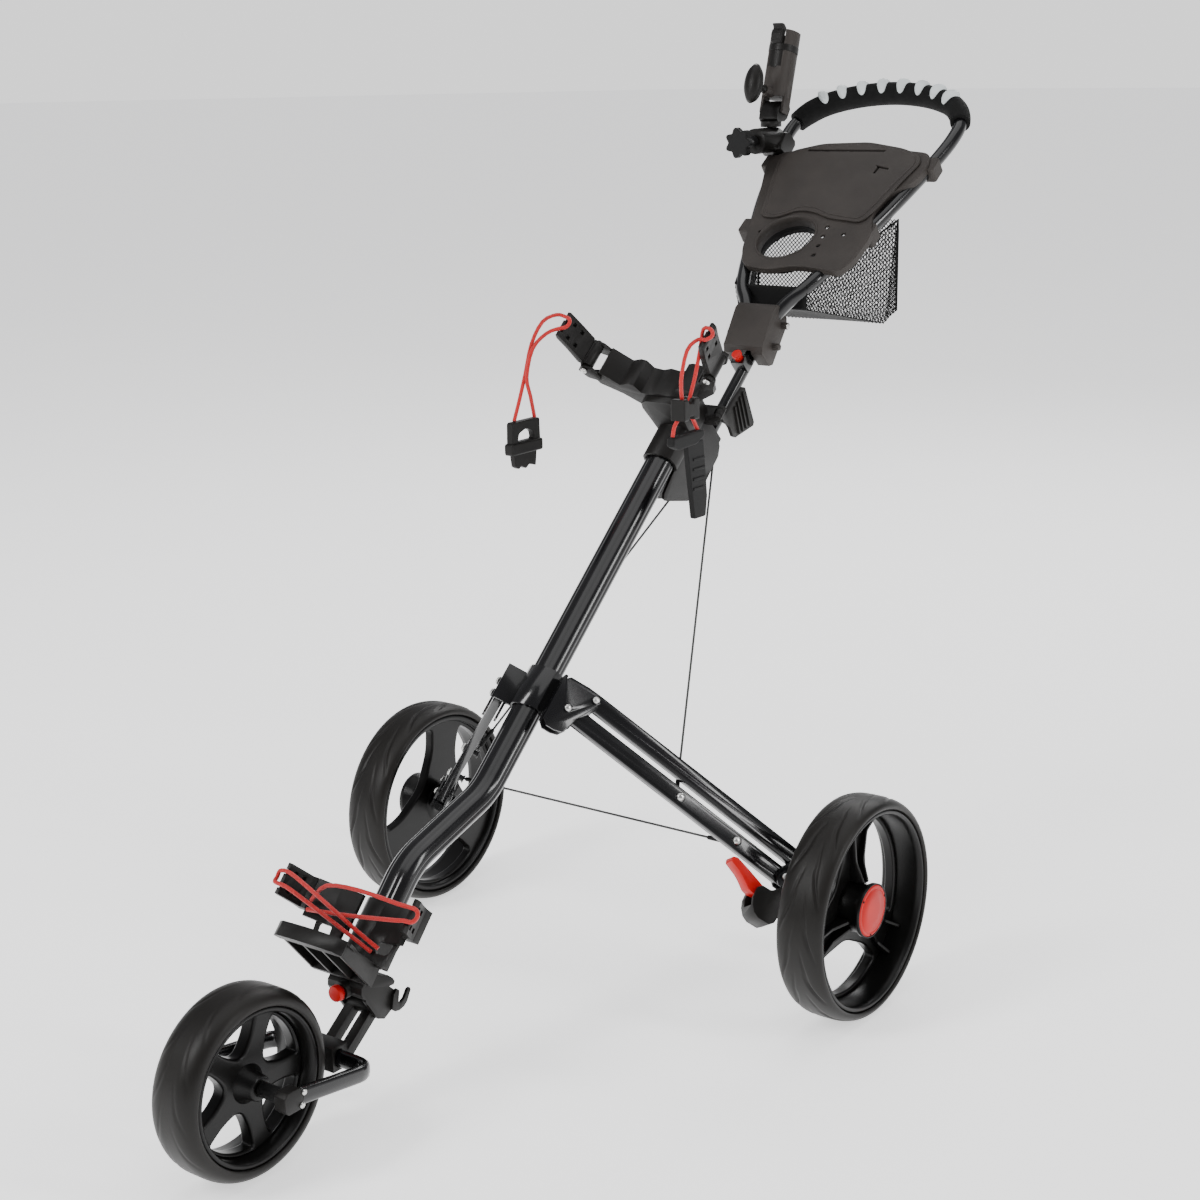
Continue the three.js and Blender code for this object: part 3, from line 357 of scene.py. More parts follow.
def facing_out(obj):
    shape = bmesh.new()
    shape.from_mesh(obj.data)
    bmesh.ops.recalc_face_normals(shape, faces=shape.faces)
    shape.to_mesh(obj.data)
    shape.free()
    return obj


def bevelled(obj, width, angle=30, segments=2):
    bevel = obj.modifiers.new("bevel", "BEVEL")
    bevel.width = width * MM
    bevel.segments = segments
    bevel.limit_method = "ANGLE"
    bevel.angle_limit = math.radians(angle)
    bevel.harden_normals = True
    return obj


def refined(node, width=1.0, angle=32, material=None):
    """A CAD node's own shape as one clean mesh with its edges rounded."""
    source = frame["nodes"][node]
    shape = bmesh.new()
    shape.from_mesh(source.data)
    bmesh.ops.remove_doubles(shape, verts=shape.verts, dist=2e-5)
    bmesh.ops.dissolve_limit(
        shape, angle_limit=math.radians(1.5), verts=shape.verts, edges=shape.edges,
        use_dissolve_boundaries=False
    )
    bmesh.ops.recalc_face_normals(shape, faces=shape.faces)
    mesh = bpy.data.meshes.new("fine_" + node)
    shape.to_mesh(mesh)
    shape.free()
    slot = SLOT_OF[node]
    obj = dress(
        bpy.data.objects.new("fine_" + node, mesh), material or MATERIAL_OF[slot], BODY_OF[node], slot
    )
    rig.replaces(obj, node)
    return bevelled(obj, width, angle)


def lathe(name, matrix, profile, material, body, slot=None, steps=96, shift=None):
    """Turns a closed profile of (radius, x) about the x axis of a frame in millimetres."""
    verts, faces, count = [], [], len(profile)
    for i in range(steps):
        angle = 2 * math.pi * i / steps
        for radius, x in profile:
            r = radius + (shift(angle, x, radius) if shift else 0)
            verts.append(matrix @ Vector((x, r * math.cos(angle), r * math.sin(angle))))
    for i in range(steps):
        for j in range(count):
            a, b = i * count + j, i * count + (j + 1) % count
            c, d = (i + 1) % steps * count + (j + 1) % count, (i + 1) % steps * count + j
            faces.append((a, b, c, d))
    return facing_out(piece(name, verts, faces, material, body, slot))


def disc_solid(name, matrix, profile, material, body, slot=None, steps=48):
    """Turns an open profile that starts and ends on the axis."""
    verts = [matrix @ Vector((profile[0][1], 0, 0)), matrix @ Vector((profile[-1][1], 0, 0))]
    rings = profile[1:-1]
    for radius, x in rings:
        for i in range(steps):
            angle = 2 * math.pi * i / steps
            verts.append(matrix @ Vector((x, radius * math.cos(angle), radius * math.sin(angle))))
    faces = []
    for i in range(steps):
        j = (i + 1) % steps
        faces.append((0, 2 + i, 2 + j))
        for k in range(len(rings) - 1):
            a = 2 + k * steps
            faces.append((a + i, a + steps + i, a + steps + j, a + j))
        last = 2 + (len(rings) - 1) * steps
        faces.append((1, last + j, last + i))
    return facing_out(piece(name, verts, faces, material, body, slot))


def rounded(points, radius, steps=6):
    """A closed outline with its corners rounded."""
    corners = [Vector((p[0], p[1])) for p in points]
    outline = []
    for i, corner in enumerate(corners):
        before, after = corners[i - 1], corners[(i + 1) % len(corners)]
        reach = min(radius, (corner - before).length / 2.1, (corner - after).length / 2.1)
        start = corner + (before - corner).normalized() * reach
        end = corner + (after - corner).normalized() * reach
        for k in range(steps + 1):
            t = k / steps
            outline.append(start * (1 - t) ** 2 + corner * 2 * t * (1 - t) + end * t**2)
    return outline


def plate(name, outline, holes, span, matrix, material, body, slot=None, edge=1.2):
    """A plate of the given outline with holes, between two heights, its edges rounded."""
    curve = bpy.data.curves.new(name, "CURVE")
    curve.dimensions = "2D"
    curve.fill_mode = "BOTH"
    curve.extrude = (span[1] - span[0]) / 2 - edge
    curve.bevel_depth = edge
    curve.bevel_resolution = 2
    curve.offset = -edge
    for loop in (outline, *holes):
        spline = curve.splines.new("POLY")
        spline.points.add(len(loop) - 1)
        for point, place in zip(spline.points, loop):
            point.co = (place[0], place[1], 0, 1)
        spline.use_cyclic_u = True
    shaper = bpy.data.objects.new(name + "_outline", curve)
    bpy.context.scene.collection.objects.link(shaper)
    bpy.context.view_layer.update()
    mesh = bpy.data.meshes.new_from_object(shaper.evaluated_get(bpy.context.evaluated_depsgraph_get()))
    bpy.data.objects.remove(shaper)
    mesh.transform(matrix @ Matrix.Translation((0, 0, (span[0] + span[1]) / 2)))
    mesh.name = name
    obj = dress(bpy.data.objects.new(name, mesh), material, body, slot)
    shape = bmesh.new()
    shape.from_mesh(mesh)
    bmesh.ops.remove_doubles(shape, verts=shape.verts, dist=1e-6)
    bmesh.ops.recalc_face_normals(shape, faces=shape.faces)
    shape.to_mesh(mesh)
    shape.free()
    flat = obj.modifiers.new("flat faces", "WEIGHTED_NORMAL")
    flat.keep_sharp = True
    return obj


def circle(radius, at=(0, 0), steps=48):
    turn = 2 * math.pi / steps
    return [
        (at[0] + radius * math.cos(i * turn), at[1] + radius * math.sin(i * turn)) for i in range(steps)
    ]


def smooth_route(points, steps):
    """A Catmull-Rom line through points, in the frame that they are given in."""
    points = [Vector(p) for p in points]
    padded_points = [points[0] * 2 - points[1], *points, points[-1] * 2 - points[-2]]
    route = []
    per = max(2, round(steps / (len(points) - 1)))
    for i in range(1, len(padded_points) - 2):
        a, b, c, d = padded_points[i - 1 : i + 3]
        for k in range(per):
            t = k / per
            route.append(
                0.5 * (
                    2 * b + (c - a) * t + (2 * a - 5 * b + 4 * c - d) * t**2 + (
                        3 * b - a - 3 * c + d
                    ) * t**3
                )
            )
    return [*route, points[-1]]


def sweep(name, route, section, material, body, slot=None, side=(1, 0, 0), size=None):
    """Sweeps a section of (across, up) along a route; side is the section's across direction at the start."""
    verts, faces, count = [], [], len(section)
    across = Vector(side).normalized()
    for i, point in enumerate(route):
        along = (route[min(i + 1, len(route) - 1)] - route[max(i - 1, 0)]).normalized()
        across = (across - along * across.dot(along)).normalized()
        up = along.cross(across)
        scale = size(i / (len(route) - 1)) if size else 1
        verts += [point + (across * x + up * y) * scale * MM for x, y in section]
    for i in range(len(route) - 1):
        for j in range(count):
            k = (j + 1) % count
            faces.append((i * count + j, i * count + k, (i + 1) * count + k, (i + 1) * count + j))
    faces.append(tuple(range(count))[::-1])
    faces.append(tuple((len(route) - 1) * count + j for j in range(count)))
    obj = facing_out(piece(name, verts, faces, material, body, slot))
    split = obj.modifiers.new("ends", "EDGE_SPLIT")
    split.split_angle = math.radians(50)
    return obj


def bolt_head(name, matrix, body, radius=5.0, height=3.0):
    """A domed bolt head that stands on the z = 0 plane of a frame."""
    turn = Matrix.Rotation(math.radians(-90), 4, "Y")
    profile = [
        (0, 0), (radius, 0), (radius, height * 0.35), (radius * 0.8, height * 0.8), (radius * 0.4, height),
        (0, height),
    ]
    return disc_solid(name, matrix @ turn, profile, ZINC, body, "bright_steel", 24)


# ------------------------------------------------------------------ frame tubes


def bent_route(corners, radius, steps=10):
    route = [corners[0]]
    for before, corner, after in zip(corners, corners[1:], corners[2:]):
        back, on = (before - corner).normalized(), (after - corner).normalized()
        reach = radius * MM / math.tan(back.angle(on) / 2)
        start, end = corner + back * reach, corner + on * reach
        for k in range(steps + 1):
            t = k / steps
            route.append(start * (1 - t) ** 2 + corner * 2 * t * (1 - t) + end * t**2)
    return [*route, corners[-1]]


def fluted(width, depth, flute, count=96):
    """An oval tube section with shallow flutes along its faces."""
    section = []
    for i in range(count):
        angle = 2 * math.pi * i / count
        c, s = math.cos(angle), math.sin(angle)
        x = math.copysign(abs(c) ** 0.95, c) * width / 2
        y = math.copysign(abs(s) ** 0.95, s) * depth / 2
        groove = sum(
            math.exp(-(((angle - math.radians(a)) / 0.1) ** 2)) for a in (62, 118, 242, 298, 0, 180, 360)
        )
        section.append((x * (1 - flute * groove), y * (1 - flute * groove)))
    return section


def main_tube():
    corners = [
        TUBE @ Vector((0, 470, 0)),
        TUBE @ Vector((0, -115.8, 0)),
        FOOT @ Vector((0, 103, FOOT_AXIS)),
        FOOT @ Vector((0, -24, FOOT_AXIS)),
    ]
    obj = sweep(
        "fluted_main_tube", bent_route(corners, 100), fluted(41.6, 32.6, 0.05), PAINT,
        BODY_OF["main_tube"], "frame_tube"
    )
    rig.replaces(obj, "main_tube")


HANDLE_HALF = [
    (22, -16, -14), (34, 6, -7), (54, 38, -3), (83, 123, -3), (109, 207, -3), (131, 303, -3),
    (142, 362, 0), (137, 402, 1), (110, 436, 2), (60, 458, 2), (0, 466, 2),
]


HANDLE_RADIUS = 10
GRIP_START = 394  # how far up the handle the foam grip starts


def handle_route(steps=160):
    points = [HANDLE @ Vector(p) for p in HANDLE_HALF]
    points += [HANDLE @ Vector((-x, y, z)) for x, y, z in reversed(HANDLE_HALF[:-1])]
    return smooth_route(points, steps)


def handle():
    route = handle_route()
    obj = sweep(
        "round_handle_tube", route, circle(HANDLE_RADIUS, steps=24), PAINT, BODY_OF["handle_tube"],
        "frame_tube"
    )
    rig.replaces(obj, "handle_tube")
    inverse = HANDLE.inverted()
    held = [p for p in route if (inverse @ p).y > GRIP_START]
    section = [(x, y * 1.08) for x, y in circle(16.4, steps=28)]

    def swell(t):
        return 0.9 + 0.1 * min(1, 10 * t, 10 * (1 - t))

    cover = sweep("foam_grip", held, section, FOAM, BODY_OF["grip"], "grip_foam", size=swell)
    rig.replaces(cover, "grip")
    finger_pads(held)


def finger_pads(held):
    """Eight pale, wave-shaped pads along the top of the grip."""
    normal = (HANDLE.to_3x3() @ Vector((0, 0, 1))).normalized()
    first, last, count = 0.19, 0.81, 8
    rows, columns = 10, 18
    for i in range(count):
        place = (first + (last - first) * i / (count - 1)) * (len(held) - 1)
        index = int(place)
        point = held[index].lerp(held[index + 1], place - index)
        along = (held[index + 1] - held[index - 1]).normalized()
        out = along.cross(normal).normalized()
        if out.dot(HANDLE.to_3x3() @ Vector((0, 1, 0))) < 0:
            out = -out
        rise = (out * 0.15 + normal * 0.99).normalized()
        wide = along.cross(rise).normalized()
        verts, faces = [], []
        for r in range(rows + 1):
            polar = math.pi * r / rows
            for c in range(columns):
                turn = 2 * math.pi * c / columns
                u, v = math.sin(polar) * math.cos(turn), math.sin(polar) * math.sin(turn)
                lift = 12.5 + 11 * math.cos(polar)
                curl = 5.5 * max(0, math.cos(polar)) ** 2
                verts.append(point + (along * (8.6 * u + curl - 1.5) + rise * lift + wide * 15.5 * v) * MM)
        for r in range(rows):
            for c in range(columns):
                d = (c + 1) % columns
                faces.append(
                    (r * columns + c, r * columns + d, (r + 1) * columns + d, (r + 1) * columns + c)
                )
        pad = piece(f"finger_pad_{i + 1}", verts, faces, PALE, BODY_OF["grip"], "grip_foam")
        weld = pad.modifiers.new("weld", "WELD")
        weld.merge_threshold = 1e-6
        facing_out(pad)


# ------------------------------------------------------------------ wheels

REAR = {"radius": 145, "width": 65, "rim": 131}
FRONT = {"radius": 110.6, "width": 66, "rim": 92}


def tyre_profile(size, flat):
    half, rim = size["width"] / 2, size["rim"]
    rise = size["radius"] - rim - 3
    right = []
    for k in range(13):
        angle = math.pi / 2 * k / 12
        right.append((rim + 3 + rise * math.cos(angle) ** 0.9, flat + (half - flat) * math.sin(angle)))
    crown = [(size["radius"], flat * k / 7) for k in range(7)]
    bead = [(rim + 1.2, half - 0.8), (rim + 0.3, half - 2)]
    right = crown + right + bead
    return right + [(r, -x) for r, x in reversed(right[1:])]


def swooshes(depth, waves, reach, least):
    """Grooves that sweep from the crown to the shoulder on both sides of a tyre, past a least radius."""

    def shift(angle, x, radius):
        if radius <= least:
            return 0
        total = 0.0
        for side in (1, -1):
            phase = (math.degrees(angle) + (0 if side > 0 else 180 / waves)) % (360 / waves) / (360 / waves)
            line = reach[0] + (reach[1] - reach[0]) * (0.5 - 0.5 * math.cos(math.pi * phase))
            fade = math.sin(math.pi * min(1, phase * 1.15)) if phase < 0.87 else 0
            total += fade * math.exp(-(((side * x - line) / 1.9) ** 2))
            second = (phase + 0.45) % 1
            line = reach[0] * 0.5 + (reach[1] - reach[0]) * 0.75 * second
            total += 0.6 * math.sin(math.pi * second) * math.exp(-(((side * x - line) / 1.6) ** 2))
        return -depth * total

    return shift


def dense(profile, step=1.6):
    """Adds points along a closed profile so that none is further than a step from the next."""
    points = []
    for (r0, x0), (r1, x1) in zip(profile, profile[1:] + profile[:1]):
        parts = max(1, math.ceil(math.hypot(r1 - r0, x1 - x0) / step)) if min(r0, r1) > 0 else 1
        points += [(r0 + (r1 - r0) * k / parts, x0 + (x1 - x0) * k / parts) for k in range(parts)]
    return points


def window(middle, spread, inner, outer, steps=8):
    def polar(radius, angle):
        turn = math.radians(middle + angle)
        return radius * math.cos(turn), radius * math.sin(turn)

    arc = [polar(outer, spread * (k / 4 - 1)) for k in range(9)]
    waist = (inner + outer) / 2
    points = [*arc, polar(waist, spread * 0.92), polar(inner, 0), polar(waist, -spread * 0.92)]
    return rounded(points, 14, steps)


def wheel_frame(node):
    """The frame of a wheel: x along its axle, outward, and its centre at its tyre's centre."""
    a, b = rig.box(node)
    centre = [(a[i] + b[i]) / 2 for i in range(3)]
    move = Matrix.Translation(centre) @ Matrix.Scale(MM, 4)
    return move @ MIRROR if centre[0] < -0.01 else move


def rear_wheel(side):
    place = wheel_frame("rear_tyre_" + side)
    body = BODY_OF["rear_tyre_" + side]
    tread = swooshes(1.9, 13, (9, 27), least=134)
    tyre = lathe(
        "treaded_tyre_" + side, place, dense(tyre_profile(REAR, 8)), TYRE, body, "tyre", 360, tread
    )
    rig.replaces(tyre, "rear_tyre_" + side)
    barrel = [
        (130.6, -29), (130.6, 29), (127.5, 30.2), (124.5, 28.5), (123.5, 20), (122.6, -4), (121.8, -26),
        (124, -29.2),
    ]
    lathe("rim_barrel_" + side, place, barrel, RIM_PLASTIC, body, "rim")
    windows = [window(m, 45, 46, 117) for m in (20, 140, 260)]
    face = place @ SIDEWAYS
    disc = plate(
        "rim_spokes_" + side, circle(124, steps=96), [*windows, circle(7)], (-22, -7), face, RIM_PLASTIC,
        body, "rim", 3
    )
    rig.replaces(disc, "rear_rim_" + side)
    hub = [
        (7, -24), (27, -24), (31, -20), (33, -6), (31, 14), (35, 20), (35.3, 26.4), (34.2, 26.4),
        (34.1, 22.8), (7, 22.8),
    ]
    lathe("rim_hub_" + side, place, hub, RIM_PLASTIC, body, "rim", 64)
    for i, angle in enumerate((80, 200, 320)):
        for j, lean in enumerate((-9, 9)):
            turned = place @ Matrix.Rotation(math.radians(angle + lean), 4, "X")
            rib = [(30, -8), (122, -8), (122, 10), (98, -1), (60, 2), (34, 14)]
            plate(
                f"rim_rib_{side}_{i + 1}_{j + 1}",
                rounded(rib, 4),
                [],
                (-2, 2),
                turned @ SWAPPED,
                RIM_PLASTIC,
                body,
                "rim",
                0.9,
            )
    cap = [
        (0, 23.2), (33, 23.2), (33.8, 24.5), (33, 26.2), (29.5, 27.2), (28.6, 26.1), (27.4, 27.6), (14, 28),
        (0, 28),
    ]
    red = disc_solid("red_hub_cap_" + side, place, cap, RED, body, "red_plastic", 72)
    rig.replaces(red, "hub_cap_" + side)
    # Three small black discs on the red cap: painted shade standing in for the dimples in the cap.
    for i in range(3):
        turn = math.radians(120 * i + 20)
        at = Matrix.Translation((26.6, 31 * math.cos(turn), 31 * math.sin(turn)))
        disc_solid(
            f"cap_dimple_{side}_{i + 1}", place @ at, [(0, 0), (1.6, 0), (1.2, 0.9), (0, 0.9)], BLACK,
            body, "red_plastic", 12
        )


def front_wheel():
    place = wheel_frame("front_tyre")
    body = BODY_OF["front_tyre"]
    tread = swooshes(0.5, 13, (12, 27), least=96)
    tyre = lathe(
        "treaded_front_tyre", place, dense(tyre_profile(FRONT, 9)), TYRE, body, "tyre", 300, tread
    )
    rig.replaces(tyre, "front_tyre")
    barrel = [
        (91.6, -30), (91.6, 30), (88.5, 31), (85.4, 29), (84.2, 10), (84.2, -10), (85.4, -29), (88.5, -31)
    ]
    lathe("front_rim_barrel", place, barrel, RIM_PLASTIC, body, "rim")
    windows = [window(m, 25.5, 30, 79) for m in (30, 102, 174, 246, 318)]
    disc = plate(
        "front_rim_spokes", circle(86, steps=96), [*windows, circle(6)], (-9, 11), place @ SIDEWAYS,
        RIM_PLASTIC, body, "rim", 4,
    )
    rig.replaces(disc, "front_rim")
    hub = [
        (6, -32), (13, -32), (15, -30), (17, -12), (25, -8), (25, 10), (17, 14), (15, 30), (13, 32), (6, 32)
    ]
    lathe("front_rim_hub", place, hub, RIM_PLASTIC, body, "rim", 48)


# ------------------------------------------------------------------ console and net

BASE_OUTLINE = [
    (-62, 61), (-18, 53), (23, 64), (60, 62), (100, 55), (112, 80), (116, 134), (97, 180), (102, 220),
    (134, 256),
    (139, 292), (128, 316), (0, 332), (-120, 312), (-137, 290), (-120, 240), (-104, 190), (-93, 146),
    (-80, 95),
]
LID_OUTLINE = [
    (-68, 160), (-50, 163), (-26, 179), (4, 176), (32, 164), (90, 157), (102, 190), (113, 240), (126, 290),
    (118, 306), (85, 321), (22, 334), (-55, 329), (-100, 312), (-115, 293), (-104, 245), (-93, 203),
    (-84, 166),
]
CUP = (-19, 123)


def inset(outline, distance):
    """Moves each point of a rounded outline inwards."""
    points = [Vector((p[0], p[1])) for p in outline]
    middle = sum(points, Vector((0, 0))) / len(points)
    return [p + (middle - p).normalized() * distance for p in points]


def console():
    body = BODY_OF["console_base"]
    holes = [circle(44, CUP)] + [circle(3.4, (38 + 2 * i, 148 - 20 * i), 16) for i in range(4)]
    holes += [circle(3, (71, 134), 16), circle(3, (-68, 133), 16)]
    outline = rounded(BASE_OUTLINE, 13)
    base = plate(
        "console_shell", outline, holes, (7.4, 12.2), HANDLE, CONSOLE_PLASTIC, body, "plastic", 1.6
    )
    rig.replaces(base, "console_base")
    plate(
        "console_skirt", outline, [inset(outline, 4)], (1, 10), HANDLE, CONSOLE_PLASTIC, body, "plastic",
        1.4,
    )
    turn = HANDLE @ Matrix.Translation((*CUP, 0)) @ Matrix.Rotation(math.radians(-90), 4, "Y")
    ring = [(43.6, -5), (46, -5), (46.5, 8), (48.5, 11.8), (47.5, 13.4), (45.4, 13.6), (44, 12)]
    lathe("cup_ring", turn, ring, CONSOLE_PLASTIC, body, "plastic", 72)
    sleeve = [(44.4, -18), (45.6, -18), (46.4, -4), (45.2, -4)]
    lathe("cup_sleeve", turn, sleeve, BLACK, body, "plastic", 72)
    tub = rounded([(-66, 214), (66, 214), (66, 302), (-66, 302)], 10)
    plate("console_tub", tub, [], (-14, 8), HANDLE, CONSOLE_PLASTIC, body, "plastic", 2)
    for side, mirror in (("right", 1), ("left", -1)):
        for i, (x, y) in enumerate(((96, 150), (131, 296))):
            clip = rounded(
                [
                    (mirror * x - 15, y - 14), (mirror * x + 15, y - 14), (mirror * x + 15, y + 14),
                    (mirror * x - 15, y + 14),
                ],
                5,
            )
            plate(
                f"tube_clip_{side}_{i + 1}", clip, [], (-15, 9), HANDLE, CONSOLE_PLASTIC, body, "plastic", 2
            )
    slot = rounded([(-73, 313.5), (58, 315), (58, 311), (-73, 309)], 1.5, 3)
    tee = rounded([(58, 280), (82, 274), (82, 271), (66, 274), (64, 262), (61, 262), (62, 276)], 0.6, 2)
    lid = plate(
        "console_cover", rounded(LID_OUTLINE, 12), [slot, tee], (12.3, 16), HANDLE, CONSOLE_PLASTIC,
        BODY_OF["console_lid"], "plastic", 1.3,
    )
    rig.replaces(lid, "console_lid")
    ridge = inset(rounded(LID_OUTLINE, 12), 7)
    plate(
        "console_cover_panel", ridge, [slot, tee], (15, 17), HANDLE, CONSOLE_PLASTIC,
        BODY_OF["console_lid"], "plastic", 0.8
    )


def net_panel(name, corners, cell, sag, body):
    """A panel of diamond net between four corners, in millimetres, bulging by sag along its normal."""
    a, b, c, d = [Vector(p) for p in corners]
    columns = max(4, round((b - a).length / cell))
    rows = max(4, round((d - a).length / cell))
    normal = (b - a).cross(d - a).normalized()

    def at(i, j):
        u, v = i / columns, j / rows
        flat = a * (1 - u) * (1 - v) + b * u * (1 - v) + c * u * v + d * (1 - u) * v
        ripple = 0.8 * math.sin(9 * u + 5 * v)
        return CART @ (flat + normal * (sag * math.sin(math.pi * u) * math.sin(math.pi * v) + ripple))

    verts, faces = [], []
    thick = STRAND_RADIUS * MM

    def strand(places):
        if len(places) < 2:
            return
        start = len(verts)
        turned = (CART.to_3x3() @ normal).normalized()
        for k, place in enumerate(places):
            along = (places[min(k + 1, len(places) - 1)] - places[max(k - 1, 0)]).normalized()
            across = along.cross(turned).normalized()
            verts.extend([place + across * thick, place - across * thick, place + turned * thick])
        for k in range(len(places) - 1):
            for m in range(3):
                p, q = start + 3 * k, (m + 1) % 3
                faces.append((p + m, p + q, p + 3 + q, p + 3 + m))
        end = start + 3 * (len(places) - 1)
        faces.append((start, start + 2, start + 1))
        faces.append((end, end + 1, end + 2))

    for lead in range(-rows, columns + 1):
        strand([at(lead + j, j) for j in range(rows + 1) if 0 <= lead + j <= columns])
    for lead in range(0, columns + rows + 1):
        strand([at(lead - j, j) for j in range(rows + 1) if 0 <= lead - j <= columns])
    return piece(name, verts, faces, NET, body, "mesh_fabric")


def cloth_panel(name, corners, sag, body, steps=12):
    """A closely woven panel between four corners, in millimetres, bulging by sag along its normal."""
    a, b, c, d = [Vector(p) for p in corners]
    normal = (b - a).cross(d - a).normalized()
    verts, faces = [], []
    for j in range(steps + 1):
        for i in range(steps + 1):
            u, v = i / steps, j / steps
            flat = a * (1 - u) * (1 - v) + b * u * (1 - v) + c * u * v + d * (1 - u) * v
            verts.append(CART @ (flat + normal * sag * math.sin(math.pi * u) * math.sin(math.pi * v)))
    row = steps + 1
    for j in range(steps):
        for i in range(steps):
            k = j * row + i
            faces.append((k, k + 1, k + row + 1, k + row))
    cloth = piece(name, verts, faces, NET, body, "mesh_fabric")
    thick = cloth.modifiers.new("thickness", "SOLIDIFY")
    thick.thickness = CLOTH_THICKNESS * MM
    return cloth


NET_CELL = 6.6
STRAND_RADIUS = 0.75
HEM_RADIUS = 1.5
CLOTH_THICKNESS = 1.0


def net_bag():
    body = BODY_OF["net_bag"]
    top_front, low_front = (60, 372, 878), (57, 374, 846)
    low_mid, low_back = (111, 500, 816), (118, 525, 832)
    top_back = (118, 527, 962)

    def both(p, mirror):
        return (mirror * p[0], p[1], p[2])

    sides = []
    for side, mirror in (("right", 1), ("left", -1)):
        f1, f2, m, b1, b2 = (both(p, mirror) for p in (top_front, low_front, low_mid, low_back, top_back))
        sides.append(net_panel("net_" + side, (f1, b2, m, f2), NET_CELL, 3 * mirror, body))
        net_panel("net_corner_" + side, (m, b1, b2, b2), NET_CELL, 0.5 * mirror, body)
    net_panel("net_back", (both(top_back, -1), top_back, low_back, both(low_back, -1)), NET_CELL, -3, body)
    net_panel(
        "net_bottom_back", (both(low_back, -1), low_back, low_mid, both(low_mid, -1)), NET_CELL, -1, body
    )
    cloth_panel("cloth_bottom", (both(low_mid, -1), low_mid, low_front, both(low_front, -1)), -3, body)
    cloth_panel("cloth_front", (both(low_front, -1), low_front, top_front, both(top_front, -1)), -1, body)
    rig.replaces(sides[0], "net_bag")
    hem = circle(HEM_RADIUS, steps=10)
    for side, mirror in (("right", 1), ("left", -1)):
        line = [CART @ Vector(both(p, mirror)) for p in (top_front, top_back, low_back, low_mid, low_front)]
        smooth = [line[0] + (line[1] - line[0]) * k / 8 for k in range(8)] + [
            line[1] + (line[2] - line[1]) * k / 8 for k in range(9)
        ]
        sweep("net_hem_" + side, smooth, hem, NET, body, "mesh_fabric", side=(0, 0, 1))


# ------------------------------------------------------------------ cords and cables


CORD_DIAMETER = 5.2
WIRE_RADIUS = 1.5
CRIMP_RADIUS = 2.9


def cord_curve(name, points, diameter, body, material=CORD):
    curve = bpy.data.curves.new(name, "CURVE")
    curve.dimensions = "3D"
    curve.bevel_depth = diameter / 2
    curve.bevel_resolution = 4
    curve.use_fill_caps = True
    spline = curve.splines.new("POLY")
    spline.points.add(len(points) - 1)
    for point, place in zip(spline.points, points):
        point.co = (*place, 1)
    obj = bpy.data.objects.new(name, curve)
    dress(obj, material, body, "cord")
    length = sum((b - a).length for a, b in zip(points, points[1:]))
    return obj, length


def tube_loop(mirror, points):
    return [TUBE @ Vector((mirror * x, y, z)) for x, y, z in points]


def lower_bungees():
    routes = {
        "left": [
            (36, -20, 30.2), (-26, -2, 50), (-80, 13, 73), (-97, 15.5, 74.8), (-108, 17, 73.5),
            (-110, 24, 71),
            (-108, 31, 73.5), (-97, 32.5, 74.8), (-80, 29, 75), (-40, 16, 71), (-12, 6, 63), (20, -6, 46),
            (44, -14, 30.2),
        ],
        "right": [
            (-70, 3, 42.4), (0, 7, 55), (80, 13, 73), (97, 15.5, 74.8), (108, 17, 73.5), (110, 24, 71),
            (108, 31, 73.5), (97, 32.5, 74.8), (80, 32, 76), (20, 34, 78), (-36, 31, 68), (-70, 15, 43),
        ],
    }
    for side, points in routes.items():
        node = "lower_bungee_" + side
        route = smooth_route([FOOT @ Vector(p) for p in points], 36)
        obj, length = cord_curve("red_cord_low_" + side, route, CORD_DIAMETER * MM, BODY_OF[node])
        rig.replaces(obj, node)
        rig.cord(
            obj, exit=route[0], length=length, diameter=CORD_DIAMETER * MM, far_end="object",
            stiffness="medium",
            lay="taut",
        )


def upper_bungees():
    def cart(*p):
        return CART @ Vector(p)

    left = [
        cart(-129, -14, 737), cart(-126.8, -24, 766), cart(-126.6, -31, 792), cart(-126.5, -17, 828),
        cart(-124, 10, 845), cart(-115, 26, 850.5), cart(-107.5, 29.5, 852), cart(-104.5, 35, 856.5),
        cart(-107.5, 40, 861.5), cart(-115, 42, 864), cart(-126, 36, 867), cart(-131.5, 12, 860),
        cart(-132.4, -12, 833), cart(-132.8, -26, 796), cart(-132.4, -40, 764), cart(-130, -56, 737),
    ]
    right = [
        cart(90, -7, 728.4), cart(91, -4, 742), cart(95, 7.5, 762), cart(99, 0, 800), cart(103, 8, 838),
        *tube_loop(
            1,
            [
                (106.5, 484, 177.6), (118, 484.2, 178), (124, 493, 177), (118, 501.6, 178.3),
                (106.5, 501.4, 177.9),
            ],
        ),
        cart(102, 40, 838), cart(99, 31, 800), cart(95, 20.5, 762), cart(91, 38, 744), cart(90, 50, 728.4),
    ]
    made = {}
    for side, points in (("left", left), ("right", right)):
        node = "bungee_" + side
        route = smooth_route(points, 39)
        obj, length = cord_curve("red_cord_" + side, route, CORD_DIAMETER * MM, BODY_OF[node])
        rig.replaces(obj, node)
        made[side] = (obj, route, length)
    buckle = hook_left()
    slider, tab = hook_right()
    for side, pieces in (("left", buckle), ("right", [*slider, tab[0]])):
        obj, route, length = made[side]
        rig.cord(
            obj, exit=route[0], length=length, diameter=CORD_DIAMETER * MM, far_end="connector",
            stiffness="medium", lay="hanging", with_pieces=pieces,
        )


